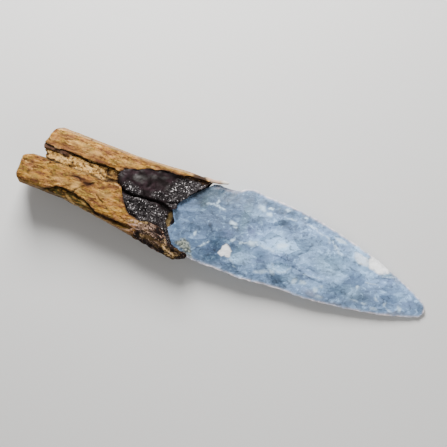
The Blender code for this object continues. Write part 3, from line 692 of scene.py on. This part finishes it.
stem["mouthLower"] = blade["width"] * float(smooth(blade["lower"], 0.08)) + 0.3
stem["seatHalf"] = float(bladeHalf(np.array(stem["length"]), np.array(0)))
stem["bedFloor"] = -(stem["seatHalf"] + 1.5)
stem["back"] = stem["bedFloor"] - 0.3 - stem["backWall"]


def faceLevel(x, y):
    # split face: sinks towards the mouth, a little higher on the upper strip
    sink = (stem["face"] - stem["mouthFace"]) * ease(0.45, 1, x / stem["length"])
    return stem["face"] - sink + stem["upperLift"] * ease(-0.2, 1, y / stem["upper"])


def stemEdges(x):
    # the lower side swells to the mouth and is rounded at the lip; the upper one is nearly straight
    share = x / stem["length"]
    mouth = stem["mouthLower"] + stem["lowerWall"]
    lower = stem["lower"] + (mouth - stem["lower"]) * ramp(0.28, 0.92, share)
    lower = lower - 0.75 * stem["lowerWall"] * ramp(0.92, 1, share) ** 2
    mouth = stem["mouthUpper"] + stem["upperWall"]
    return -lower, stem["upper"] + (mouth - stem["upper"]) * ease(0.52, 0.92, share)


def breakLine(x):
    # the broken lower edge of the split face, ragged by noise
    edge = -stem["lower"] * smooth(stem["breakEdge"], x / stem["length"]) + 0.35 * ragged(x, 1.6, 101)
    return np.maximum(edge, stemEdges(x)[0] + stem["breakLeast"])


def stemRows(x):
    # rows across in four bands: side to break, break to groove, the groove, groove to upper side
    lower, upper = stemEdges(x)
    step = stem["step"]
    low = stem["grooveLower"] + 0.18 * ragged(x, 3, 103)
    high = stem["grooveUpper"] + 0.18 * ragged(x, 3.4, 105)
    rows = []
    for start, end, count, lean in (
        (lower, breakLine(x), 24, 2.2), (breakLine(x) + step, low - step, 40, 1),
        (low, high - step, 24, 1), (high, upper, 42, 0.45),
    ):
        even = np.linspace(0, 1, count)
        shares = even**lean if lean >= 1 else 1 - (1 - even) ** (1 / lean)
        rows += [start + (end - start) * share for share in shares]
        if end is not upper:
            rows += [end + step * share for share in (0.33, 0.67)]
    return np.stack(rows, -1), low[:, None], high[:, None]


def stemGrids():
    # front and back of the stem before the bed is cut, as in the solid, with finer rows
    station = np.linspace(0, 1, stem["rowsAlong"]) * stem["length"]
    lower, upper = stemEdges(station)
    y, low, high = stemRows(station)
    x = station[:, None] + 0 * y
    share = x / stem["length"]
    step = stem["step"]
    inUpper = ease(low - step, low, y)
    # the butt: the lower strip bows, the upper one is set back and slants
    buttLower = np.minimum(stem["buttBow"] * ((y / stem["lower"] + 0.46) / 0.53) ** 4, stem["buttBow"])
    buttLower = buttLower + stem["corner"] * ease(-3.2, 1.6, y) ** 2
    upStrip = ramp(high, stem["upper"], y)
    across = ramp(low, high, y)
    buttUpper = stem["setback"] + stem["endSlant"] * upStrip + stem["grooveSlant"] * (1 - across)
    upperCorner = stem["upperCorner"] * ramp(0.72, 1, upStrip) ** 2 - 0.8 * upStrip
    butt = buttLower + (buttUpper + upperCorner - buttLower) * inUpper + 0.12 * ragged(y, 2, 107)
    # both ends shift whole rows along x, and the shift fades inwards
    fade = ramp(3 * stem["setback"], 0, x)
    torn = 0.2 * np.sin(math.pi * y / 6) + 0.25 * ragged(y, 1.6, 109)
    mouth = -stem["mouthSlant"] * (ease(-1, -0.6, y / stem["mouthLower"]) + torn)
    x = x + butt * fade + mouth * ease(0.86, 1, share)
    w = (y - ((lower + upper) / 2)[:, None]) / ((upper - lower) / 2)[:, None]
    ends = 0.3 * stem["endRound"] * ramp(stem["endRound"], 0, x - butt) ** 2
    front = stem["widest"] + (faceLevel(x, y) - stem["widest"] - ends) * crown(w, 5)
    # the broken strip and the groove lie lower
    present = ease(0.1, 0.18, share) * ease(0.72, 0.62, share)
    below = ease(step, 0, y - breakLine(station)[:, None])
    front = front - stem["breakDepth"] * present * below * crown(w, 5)
    inGroove = inUpper * ease(high, high - step, y)
    front = front - stem["grooveDepth"] * (0.3 + 0.7 * across) * inGroove
    depth = stem["widest"] - stem["back"] - stem["backTaper"] * ease(0.5, 1, share) - ends
    return twoSides(x, y, front, stem["widest"] - depth * crown(w, 2.4))


def splinterGrids():
    # a tapered splinter: half turns of a small circle carried along its axis, front and back
    along = np.linspace(0, 1, 40)[:, None]
    turn = np.linspace(math.pi - 0.2, 0.2, 9)[None]
    radius = stem["splinterRadius"] - stem["splinterTaper"] * along**1.4
    radius = radius * (1 + 0.13 * np.sin(11 * along)) * ease(-0.02, 0.05, 1 - along)
    x = stem["splinterStart"] + stem["splinterLength"] * along
    y = stem["mouthUpper"] + stem["splinterRise"] * along + 0.12 * np.sin(9 * along)
    z = stem["splinterLevel"] + 0.2 * np.sin(7 * along)
    depth = radius * np.sin(turn)
    return twoSides(x, y + radius * np.cos(turn), z + depth, z - depth)


# The birch tar.
tar = dict(
    bed=1.2, cover=1.3, start=44.8, nose=1.2, sunk=0.2, crown=0.7, lump=0.45, pitch=7.5, crack=1.9,
    inset=3, ramp=14, startDepth=2, side=-1, bladeFit=0.05, rowsAlong=230, rowsAcross=120,
    upper=(
        (0.46, 0), (0.5, 0.01), (0.54, 0.17), (0.59, 0.33), (0.65, 0.53), (0.73, 0.72), (0.82, 0.83),
        (0.89, 0.96), (0.97, 1), (1.2, 1),
    ),
    lower=(
        (0.46, 0), (0.55, 0.02), (0.578, 0.24), (0.606, 0.43), (0.636, 0.555), (0.672, 0.605),
        (0.76, 0.605), (0.832, 0.635), (0.899, 0.91), (0.967, 0.985), (1, 1.05), (1.2, 1.07),
    ),
    edge=(
        (-1, 8.4), (-0.9, 9.6), (-0.82, 11.6), (-0.74, 14), (-0.62, 15), (-0.45, 14.6), (-0.25, 13.7),
        (-0.04, 12.2), (0.19, 11.1), (0.54, 7.6), (0.9, 1.8), (1, 0.8),
    ),
    # the crack between the upper and the lower lump, and a few thinner ones: width, strength, points
    cracks=(
        (0.65, 1, 46.5, 0.2, 50, -0.7, 54, -1, 57, -0.5, 61, -0.4, 65, 0.3, 68, 0, 70.5, -1, 74, -2.4),
        (1.1, 1, 68.4, -0.6, 70.5, -1.2, 72.4, -2.2, 74.4, -3.4),
        (0.6, 0.25, 56.6, 4.6, 57.8, 2.2, 59, 0.4), (0.8, 0.2, 59.6, 10.2, 60.6, 7.4, 59.4, 5.4),
        (0.6, 0.22, 69.2, 14, 69.8, 10, 69.4, 6, 70.2, 1.4), (0.5, 0.25, 62.8, -1.6, 62, -5, 62.6, -8.8),
        (0.4, 0.35, 52, -6.2, 55, -9.2, 58.6, -9.9), (0.4, 0.5, 70.5, 1.6, 73, 2.2, 75.4, 3.6),
    ),
)


def bedEdges(x, grow=0):
    # the bed opens from the groove's width to the mouth's
    share = x / stem["length"]
    low, high = stem["grooveLower"], stem["grooveUpper"]
    lower = low - (low + stem["mouthLower"] - stem["lipLap"]) * smooth(tar["lower"], share)
    upper = high + (stem["mouthUpper"] - high) * smooth(tar["upper"], share)
    within = ease(0.5, 0.54, share) * ease(0.98, 0.9, share)
    lower = lower + 0.35 * within * ragged(x, 2.4, 113)
    upper = upper + 0.3 * within * ragged(x, 2, 115)
    return lower - grow, upper + grow


def tarGrids(grow=0, cutter=False, rowsAlong=60, rowsAcross=41):
    # fills the bed, laps over the rim of the blade's base, then drops to a layer behind the blade
    w = gathered(rowsAcross, 0.4)
    start = tar["start"] + tar["nose"] * w**2 + 0.5 * ragged(40 * w, 5, 117) - grow
    torn = 0.45 * ragged(40 * w, 3, 111) * (1 - w**4)
    edge = stem["length"] - smooth(tar["edge"], w) + (0 if cutter else torn)
    end = stem["length"] - tar["inset"] * (1 - 0.9 * np.maximum(w, 0) ** 4)
    edge = np.minimum(edge, end - 1.2)
    drop = edge + 0.3
    main = start + (edge - start) * np.linspace(0, 1, rowsAlong)[:, None]
    bed = drop + (end - drop) * np.linspace(0, 1, max(4, rowsAlong // 6))[:, None]
    x = np.concatenate([main, bed])
    if cutter:
        x = np.concatenate([x, x[-1:] + 0.25 * stem["length"]])
    lower, upper = bedEdges(x, grow)
    y = lower + (upper - lower) * (w + 1) / 2
    deep = ease(0, 1, (x - tar["start"]) / tar["ramp"] - 0.15)
    face = faceLevel(x, y)
    side = face - stem["grooveDepth"] - tar["startDepth"] / 2
    side = side + (tar["side"] - side) * deep
    floor = face - stem["grooveDepth"] - tar["startDepth"]
    floor = floor + (stem["bedFloor"] - floor) * deep
    back = side - (side - floor) * crown(w, 4) - grow
    if cutter:
        return twoSides(x, y, 2 * stem["face"], back)
    turn = 2 * math.pi / tar["pitch"]
    lumps = np.sin(turn * (x + 0.5 * y) + 1.3) * np.cos(turn * (0.8 * y - 0.3 * x))
    front = face - tar["sunk"] + tar["crown"] * (1 - w**2) + tar["lump"] * lumps
    overRim = bladeHalf(x, w) + tar["cover"] + tar["lump"]
    front = front + (overRim - front) * ease(0, 1, (x - tar["start"]) / (edge - tar["start"]) - 0.1)
    front = front - tar["crack"] * strokes(x, y, tar["cracks"])
    behind = -(0.55 * stem["seatHalf"] + 0.3)
    front[rowsAlong:] = np.maximum(behind, back[rowsAlong:] + tar["bed"] / 2)
    return twoSides(x, y, front, back)


wood = dict(
    body=(0.086, 0.036, 0.009), light=(0.345, 0.174, 0.04), dark=(0.036, 0.012, 0.005),
    red=(0.14, 0.052, 0.026), pith=(0.34, 0.178, 0.044), cream=(0.58, 0.345, 0.108),
    recess=(0.05, 0.028, 0.008), moss=(0.09, 0.076, 0.02), bark=(0.085, 0.042, 0.016),
    crack=(0.01, 0.004, 0.003), pale=(0.5, 0.32, 0.235), tar=(0.007, 0.005, 0.005),
    gold=(0.37, 0.175, 0.026), wornAndRimLight=(0.39, 0.31, 0.22), smear=(0.028, 0.016, 0.011),
    shadedLedge=(0.11, 0.066, 0.054), olive=(0.19, 0.13, 0.024), pink=(0.37, 0.168, 0.07),
    gilt=(0.62, 0.4, 0.17), tip=(0.64, 0.58, 0.5), border=(0.05, 0.022, 0.012),
    dim=(0.78, 0.75, 0.68), bright=(1.24, 1.24, 1.21), husk=(0.64, 0.43, 0.19),
    specular=0.12,
    relief=(
        ("all", 0.06, (16, 1.1, 1.1), 151), ("all", 0.09, (3.4, 1.5, 1.5), 155),
        ("all", 0.2, (9, 5, 5), 157, 1), ("outer", 0.16, (24, 1.8, 1.8), 159),
        ("pith", 0.46, (1.8, 1.1, 1.1), 161), ("pith", 0.16, 0.6, 165, 2),
        ("recess", 0.32, (3.2, 0.8, 0.8), 171), ("tarry", 0.42, 2.2, 181),
        ("tarry", 0.26, (1.6, 0.8, 0.8), 185, 2),
    ),
    soft=dict(stains=0.6, lights=0.6, ruddy=0.8), lines=("gilts", "fibres"),
    stains=(  # dark stains, and painted shade in the groove, most at its front end
        (33, -3.4, 5.5, 2.4, 1, 15), (5.3, -7.5, 1.6, 1.9, 0.9), (18.5, 6.2, 5, 2.4, 1),
        (14, 9.4, 8, 1.3, 0.5), (41.8, 2, 4.4, 1.8, 1, 20), (11.5, 5.9, 8, 2, 0.75),
        (40, 4.8, 2.4, 3, 0.8, 30), (6.5, -3.6, 5, 2, 0.35, -20), (47, -7, 7, 1.2, 0.35),
        (33.4, -3, 4.6, 2, 0.8, 20), (28.6, -2, 8, 1.5, 0.9, -3), (27.3, 16.2, 1, 1.6, 0.8),
        (9, 7.6, 3, 1.6, 0.5), (29, -2.6, 6, 2, 0.5), (46, -15.2, 14, 1.4, 0.8, -4),
        (75, 16, 12, 2.2, 0.8, 8), (50, -2.2, 4, 4, 0.3), (60, 15.8, 22, 1.8, 0.45, 3),
        (35, 6.2, 6, 1, 0.6, -5), (43, 4.8, 4, 3.6, 0.85), (38.2, 2.7, 5, 0.8, 0.8, -22),
        (9.3, 3.4, 2, 2.6, 0.7), (23, 3.1, 0.7, 2.4, 0.9, 15), (36, 4.4, 3, 0.8, 0.75, -28),
        (31.4, 5.2, 2, 0.9, 0.8, -30), (18.2, 4.7, 2.6, 1.4, 0.8, -30), (27.5, 4.4, 0.8, 1.6, 0.6),
    ),
    lights=(  # paler patches
        (32.2, 11.4, 4.2, 2.6, 0.5), (28.2, -6.2, 4.4, 4.8, 0.65, -35), (40, -5.6, 6, 3, 0.25, 30),
        (23.8, 12.4, 9, 2.2, 0.4, 2), (29.6, 10.6, 3.6, 1.6, 0.55, 15), (43.4, -5.2, 4.6, 2.2, 0.55, 20),
        (43.4, 7.2, 1.7, 1.8, 0.9), (48, 12, 10, 3, 0.25, 8), (14.8, 3, 8.5, 3, 0.35),
        (33.6, 3.6, 5, 2.6, 0.5), (37.2, 4.6, 2.2, 4, 0.9, -25), (33.8, -12.2, 3.4, 1.2, 0.9, -20),
        (27.2, -13, 5, 0.9, 0.8, -32), (77.5, 17.8, 3, 0.9, 0.9, 5), (62, 16.8, 20, 1, 0.4, 5),
        (20.5, -6, 8, 3, 0.3), (8, -9, 6, 2.5, 0.3),
    ),
    ruddy=(  # reddish brown stains
        (30.5, -2.4, 12, 2.8, 0.9, -2), (33.2, -3.4, 5.5, 3, 1, 18), (17.6, 14.2, 6, 1.3, 0.9, 14),
        (13.5, 13, 5, 1.1, 0.7, 10), (22.6, 9.8, 7, 1.2, 0.8, 5), (24, 8.4, 34, 1.8, 0.8),
        (52, 10, 13, 1.8, 0.5, 12), (5.5, -3, 3, 4, 0.4), (36, 13.6, 10, 1, 0.6, 4),
    ),
    gilts=(  # painted golden highlights on the lip's fibres, and a painted pale line along the shaded lower rim
        (0.55, 1, 75.4, -17.8, 76.8, -18.9, 78.8, -19.6, 81.4, -20),
        (0.35, 0.8, 77.4, -20.9, 79.6, -21.3, 81.6, -21), (0.3, 0.7, 74.8, -15.2, 76, -16.2),
        (0.3, 0.6, 76, -17, 77.6, -17.6, 79.4, -18.6), (0.3, 0.6, 82.6, -19.6, 84.4, -19.2),
        (0.4, 0.6, 60.4, -11.6, 62.4, -11, 64.6, -10.6), (0.45, 0.5, 63.4, -16.8, 65.4, -17.6),
        (0.4, 0.6, 29, -14.4, 33, -14.9, 38, -15.9, 44, -16.4, 50, -17),
    ),
    fibres=(  # pinkish fibres in the tarry corner
        (0.45, 0.9, 56, -12.6, 58.6, -11.6, 61.6, -12, 65, -11.8, 68.6, -12.4),
        (0.55, 0.7, 57, -14.2, 60, -13.2, 63, -13.8, 66, -13),
        (0.4, 0.8, 51, -18.2, 55, -17.4, 58.2, -16.8, 60, -15.2, 62.4, -14.8),
        (0.5, 0.6, 66, -9, 66.8, -10.4, 69, -11.2), (0.35, 0.6, 64, -16, 66, -14.6, 69, -14.4, 71, -15.4),
        (0.35, 0.5, 68, -18.6, 71, -17.6, 73.6, -18.2), (0.4, 0.5, 70.4, -20.8, 74.6, -21.2),
        (0.35, 0.7, 62, -13, 65.6, -12.6, 68.8, -12.8), (0.35, 0.6, 74.2, -12.6, 75.4, -14.6, 76.4, -16.4),
    ),
)


def woodMarks(points, normals):
    x, y = wander(points, 0.35, 1.4, 131)
    ownX, ownY, z = points.T
    up = normals[:, 2]
    front = ease(stem["widest"] + 1.5, stem["widest"] + 4, z)
    share = ownX / stem["length"]
    breaks = -stem["lower"] * smooth(stem["breakEdge"], share)
    groove = ownY + 0.12 * rough(points, 1.8, 133)
    inGroove = front * ease(0.3, 0.7, up) * ease(-0.2, 0.1, groove - stem["grooveLower"])
    inGroove = inGroove * ease(0, 0.3, stem["grooveUpper"] - groove)
    # tarry crust at the lower corner of the mouth, and tar smeared above the blade
    uneven = 2.2 * rough(points, 3, 141)
    tarry = ease(56, 62, x + uneven) * ease(-8.6, -10.8, y + 0.15 * uneven)
    tarry = np.maximum(tarry, ease(70, 75, x + uneven) * (y < 0))
    smeared = ease(75.5, 78, x + 0.6 * uneven) * (y > 0) * ease(84.6, 83, x)
    lower, upper = stemEdges(ownX)
    toRim = np.minimum(upper - ownY, ownY - lower)
    # painted rim light: a pale band along the outline and on the sides that turn from the face, for light
    # catching the rounded edges
    bevel = 0.45 * ease(0.8, 0.5, up) * ease(0.15, 0.45, up) * ease(0, 2, z)
    rim = (0.6 + 0.7 * rough(points, 2, 143)) * np.exp(-((toRim / 0.5) ** 2)) * ease(0.15, 0.45, up)
    along = (ownX - stem["splinterStart"]) / stem["splinterLength"]
    rise = stem["mouthUpper"] + stem["splinterRise"] * along
    fromAxis = np.hypot(ownY - rise, z - stem["splinterLevel"])
    lowerBed, upperBed = bedEdges(x)
    beside = np.exp(-((np.maximum(0, np.maximum(y - upperBed, lowerBed - y)) / 0.6) ** 2))
    recess = front * ease(0.3, -0.2, y - breaks) * ease(0.08, 0.16, share) * (1 - 0.7 * ease(37, 44, x))
    shadow = front * np.exp(-(((y - breaks + 0.3) / 0.4) ** 2)) * ease(0.14, 0.18, share)
    return drawnMarks(x, y, wood, front) | {
        "pith": inGroove * (share < 0.53),
        "upperPith": inGroove * ease(4.7, 5.1, y) * ease(22, 18, x),
        "recess": recess * ease(0.72, 0.6, share),
        "border": front * beside * ease(43.8, 44.8, x) * ease(74, 70, x),
        "breakShadow": shadow * ease(0.66, 0.6, share),
        "tip": ease(89.5, 91.5, x),
        "tarry": tarry * ease(-8, -3, z + 1.2 * uneven),
        "smeared": smeared * ease(2, 3.6, z + 0.6 * uneven),
        "splinter": ease(1.8, 1.4, fromAxis) * ease(82.5, 84.2, x),
        "crack": front * strokes(ownX, ownY, stem["cracks"]),
        "outer": 1 - front,
        "end": ease(0.35, 0.75, np.abs(normals[:, 0])) * (share < 0.3),
        "wornAndRimLight": np.maximum(bevel, rim),
    }


def woodRelief(points, normals):
    # lengthwise grain, crumbs in the pith, fibres below the break, lumps in the tarry corner,
    # cracks cut in, and the low step across the lower strip
    x, y = points[:, 0], points[:, 1]
    marks = woodMarks(points, normals)
    height = heights(points, marks, wood["relief"]) + 1.2 * marks["upperPith"] + 0.2 * marks["gilts"]
    height = height + 0.25 * marks["fibres"] * marks["tarry"] - 0.45 * marks["pith"] * ease(34, 40, x)
    side = np.interp(y, *np.transpose(stem["stepLine"]))
    within = ease(-10.5, -9.5, y) * ease(-0.8, -1.8, y)
    step = 0.35 * ease(0.2, -0.3, x - side) * within * ease(16, 30, x) * (1 - marks["outer"])
    return height + step - 0.55 * marks["crack"] - 0.3 * marks["breakShadow"]


def woodLook():
    streak = mottle(1.4, 5, 0.5, 0.66, ownFrame(3.6, 4))
    fine = mottle(0.4, 3, 0.3, 0.5, ownFrame(6))
    cloud = mottle(3.6, 4, 0.4, 0.5, ownFrame(2))
    patches = mottle(1.2, 4, 0.6, 0.6, ownFrame(4, 6))
    tints = mottle(2.2, 4, 0.5, 0.6, ownFrame(2))
    grain = mottle(0.75, 3, 0.5, 0.5, ownFrame(3.5, 5))
    fissures = mottle(0.9, 4, 0.3, 0.5, ownFrame(14))
    strands = mottle(0.6, 4, 0.8, 0.6, ownFrame(2.8, -15))
    broken = spread(mottle(0.6), 0.42, 0.54)
    color = layers("body", (
        (streak, 0.42, 0.56, "light"), (cloud, 0.5, 0.6, 0.8, "gold"), (tints, 0.53, 0.6, 0.6, "olive"),
        (tints, 0.46, 0.39, 0.55, "pink"), (patches, 0.53, 0.62, 0.8, "red"),
        (patches, 0.45, 0.36, 0.6, "cream"), (fine, 0.56, 0.7, 0.65, "dark"),
        (mottle(0.8), 0.55, 0.66, 0.6, "dark"),
    ))
    color = tinted(color, spread(grain, 0.38, 0.62), "dim", "bright")
    pith = layers("pith", (
        (mottle(1.1, 4, 0.5), 0.44, 0.62, "cream"), (mottle(1.5, 4, 0.5), 0.54, 0.62, 0.95, "body"),
        (mottle(0.9, 5, 0.7, 0.6), 0.56, 0.63, 0.85, "dark"),
        # painted shade on the ledge under the upper strip's overhang, over its own purple-brown
        (mottle(2.2, 4, 0.5, 0.6), 0.46, 0.36, 0.7, "husk"), ("upperPith", 0.85, "shadedLedge"),
    ))
    hidden = layers("recess", (
        (mottle(2, 4), 0.45, 0.6, "moss"), (mottle(0.8, 4, 0, 0.5, ownFrame(3)), 0.52, 0.64, "light"),
    ))
    grit = layers("tar", (
        (mottle(1, 5, 0.5, 0.65), 0.5, 0.66, "dark"),
        (mottle(4, 2, 0, 0.5, ownFrame(2)), 0.52, 0.62, 0.8, "recess"), (strands, 0.61, 0.65, "pale"),
    ))
    splinter = layers("wornAndRimLight", ((streak, 0.42, 0.56, "pale"), ("tip", "tip")))
    color = layers(color, (
        ("outer", 0.6, "bark"), ("outer", spread(fissures, 0.53, 0.6, 0.85), "dark"),
        ("lights", 0.8, "cream"), ("ruddy", 0.7, "red"), ("pith", pith),
        # painted rim light along the edges, in the pale worn colour that the splinter also has
        ("recess", 0.95, hidden), ("wornAndRimLight", 0.75, "wornAndRimLight"), ("breakShadow", 0.9, "crack"),
        # dark stains together with painted shade
        ("lights", mark("recess", 0.9), "cream"), ("stains", 0.85, "dark"),
        ("border", 0.85, "border"), ("tarry", grit), ("smeared", 0.95, "smear"),
        # painted golden highlights
        ("splinter", splinter), ("fibres", broken, "pale"), ("gilts", broken, "gilt"),
        ("crack", "crack"), ("end", 0.5, "dark"),
    ))
    gloss = spread(streak, 0.3, 0.7, 0.92, 0.78)
    normal = bump(plus(streak, times(fine, 0.5)), 0.22)
    normal = bump(mottle(0.5, 4), 0.06, {"Normal": normal})
    return color, gloss, wood["specular"], normal


piece = slab("split_stem_handle", *stemGrids(), 8)
cut(piece, slab("splinter", *splinterGrids()), "UNION")
cut(piece, slab("bedRoom", *tarGrids(stem["fit"], cutter=True)))
cut(piece, slab("bladeRoom", *bladeGrids(stem["bladeFit"], 120, 41)))
material = newMaterial("weathered_wood", wood, woodLook)
finishPiece(piece, "wood_handle", material, woodRelief, woodMarks)


pitch = dict(
    body=(0.01, 0.006, 0.006), purple=(0.024, 0.012, 0.015), black=(0.005, 0.003, 0.003),
    sheen=(0.066, 0.062, 0.058), rust=(0.042, 0.022, 0.012), amber=(0.19, 0.095, 0.036),
    # tan is painted brighter than bare wood, as painted light in the shaded hollow
    grey=(0.031, 0.026, 0.028), dust=(0.74, 0.69, 0.68), tan=(0.74, 0.5, 0.21),
    ash=(0.15, 0.135, 0.135), specular=0.16,
    relief=(("grains", 0.3, 1.5, 211), ("grains", 0.16, 0.7, 215, 2), ("smooth", 0.3, 3, 221)),
    soft=dict(grains=0.35, bare=0.4, greys=0.7), lines=("dusty",),
    grains=(  # grainy areas
        (74.5, 8.5, 11, 17, 1, -20), (53, 1.6, 9, 4.6, 0.9, -10), (65.5, 3.2, 8, 4.6, 0.8, 10),
        (60, -5.6, 26, 10, 1, -2), (80.5, 14, 9, 5, 0.9, 30), (71.8, 3.8, 4, 5, 1),
        (74, -12, 13, 7, 1, -55),
    ),
    dusty=(  # bright dusty ridges
        (0.7, 0.9, 70.2, 6.4, 71.4, 8, 72, 10.2, 73, 12.2, 74, 13.4),
        (0.5, 0.9, 75.4, 13.2, 76.4, 11.8, 76.9, 10.4), (0.8, 0.8, 70.8, 5, 71.6, 3.6, 71.6, 2.4),
        (0.5, 0.5, 50.6, 0.6, 52.4, 1.6, 52.6, 2.6), (0.6, 0.5, 55.2, 3.6, 56.8, 2.4, 57.4, 0.8),
        (0.4, 0.6, 56.6, -1.8, 58.4, -1.2, 61, -1.4), (0.4, 0.5, 62.4, -2.2, 64.4, -1.2, 66.6, -1.8),
        (0.4, 0.6, 68.8, -4, 68.4, -6, 67.6, -9.2), (0.5, 0.5, 63, -7.2, 65, -5.6, 66.6, -5),
        (0.5, 0.5, 55.4, -7.6, 56.4, -6.4, 57.6, -7.4), (0.5, 0.6, 60.8, -9.6, 63, -9.2, 66.2, -9.6),
        (0.4, 0.5, 80.6, 15.2, 82, 13.6, 83.4, 12.8),
    ),
    # where wood shows in the hollow beside the blade; its tan is painted lighter than the wood, as painted
    # light against the hollow's shade
    bare=((73.6, -3.9, 2.2, 3.2, 1), (73, -6.6, 2.4, 2.8, 1), (73.4, -8.8, 2.4, 2.2, 1)),
    greys=(  # painted sheen: greyer patches of reflected light on the smooth tar
        (54.6, 8, 5, 1.8, 0.9, 10), (54.4, 6.3, 4, 1.4, 0.8), (60.6, 10.6, 3, 1.6, 0.8, 20),
        (64.6, 11.8, 5, 1, 0.5, 20), (67.5, 8, 3, 1.6, 0.5, 60),
    ),
)


def tarMarks(points, normals):
    x, y = wander(points, 0.5, 1.4, 201)
    front = ease(-0.3, 0.3, normals[:, 2])
    marks = drawnMarks(x, y, pitch)
    for name in ("dusty", "bare", "greys"):
        marks[name] = marks[name] * front
    marks["bare"] = marks["bare"] * ease(3, 0, points[:, 2])
    marks["crack"] = strokes(points[:, 0], points[:, 1], tar["cracks"])
    marks["woody"] = front * ease(69, 73, x) * ease(-0.6, 0.6, y - 14.9 - 0.08 * (x - 70))
    return marks


def tarRelief(points, normals):
    # sharp crumbs where the tar is grainy, soft waves elsewhere, and the dusty ridges
    marks = tarMarks(points, normals)
    marks["smooth"] = 1 - marks["grains"]
    return heights(points, marks, pitch["relief"]) + 0.22 * marks["dusty"]


def tarLook():
    moved = warp(ownFrame(), 0.5, 0.8)
    grit = blend(spread(mottle(0.7, 4, 0.3, 0.6), 0.48, 0.6), "black", "grey")
    woody = blend(spread(mottle(0.8, 4, 0, 0.5, ownFrame(2)), 0.52, 0.64), "rust", "amber")
    color = layers("body", (
        (mottle(4, 4, 0.6), 0.4, 0.66, "purple"), ("greys", 0.85, "sheen"), ("grains", grit),
        ("grains", dots(moved, 0.62, 0.34), "ash"), ("grains", dots(moved, 1, 0.22), "dust"),
        ("dusty", dots(moved, 0.7, 0.4), "dust"), ("crack", "black"), ("woody", woody), ("bare", "tan"),
    ))
    gloss = spread(mottle(2.5), 0.35, 0.65, 0.66, 0.46)
    crumbs = bump(times(mottle(0.6, 5), plus(mark("grains"), 0.15)), 0.4)
    return color, gloss, pitch["specular"], crumbs


piece = slab("birch_tar_seal", *tarGrids(0, False, tar["rowsAlong"], tar["rowsAcross"]), 2)
cut(piece, slab("bladeRoom", *bladeGrids(tar["bladeFit"], 120, 41)))
material = newMaterial("birch_tar_surface", pitch, tarLook)
finishPiece(piece, "birch_tar", material, tarRelief, tarMarks)


# The stage: a pale floor, one large soft light from the picture's top, and a weak one opposite.
stage = dict(
    floor=(0.66, 0.65, 0.63), floorSize=2400, floorGap=0.05, roughness=0.85, world=0.26,
    key=dict(place=(-60, 380, 270), size=230, power=6.6),
    fill=dict(place=(160, -330, 380), size=420, power=0.9),
)


def addObject(name, data):
    made = bpy.data.objects.new(name, data)
    bpy.context.scene.collection.objects.link(made)
    return made


# right, up and back of the picture in the world, from its turn and the lie's turn
c, s = math.cos(view["roll"]), math.sin(view["roll"])
axes = toWorld([(0, 0, 0), (c, s, 0), (-s, c, 0), (0, 0, 1)])
right, up, back = [Vector(axis - axes[0]).normalized() for axis in axes[1:]]
middle = Vector(toWorld(view["middle"]))

lens = bpy.data.cameras.new("camera")
lens.lens = view["lens"]
lens.sensor_width = view["sensor"]
camera = addObject("camera", lens)
distance = view["width"] * view["lens"] / view["sensor"] / 1000
turned = Matrix((right, up, back)).transposed().to_4x4()
camera.matrix_world = Matrix.Translation(middle + back * distance) @ turned
bpy.context.scene.camera = camera

bpy.ops.mesh.primitive_plane_add(size=stage["floorSize"] / 1000, location=(0, 0, -stage["floorGap"] / 1000))
floor = bpy.context.active_object
floor.name = "floor"
pale = (*stage["floor"], 1), stage["roughness"]
floor.data.materials.append(newMaterial("floor", {}, lambda: pale))

for name in ("key", "fill"):
    lamp = stage[name]
    data = bpy.data.lights.new(name, "AREA")
    data.size = lamp["size"] / 1000
    data.energy = lamp["power"]
    light = addObject(name, data)
    x, y, z = lamp["place"]
    light.location = middle + (right * x + up * y + back * z) / 1000
    light.rotation_euler = (light.location - middle).to_track_quat("Z", "Y").to_euler()

world = bpy.data.worlds.new("studio")
world.use_nodes = True
fill(world.node_tree.nodes["Background"], {"Color": (1, 1, 1, 1), "Strength": stage["world"]})
bpy.context.scene.world = world
print("stage set")
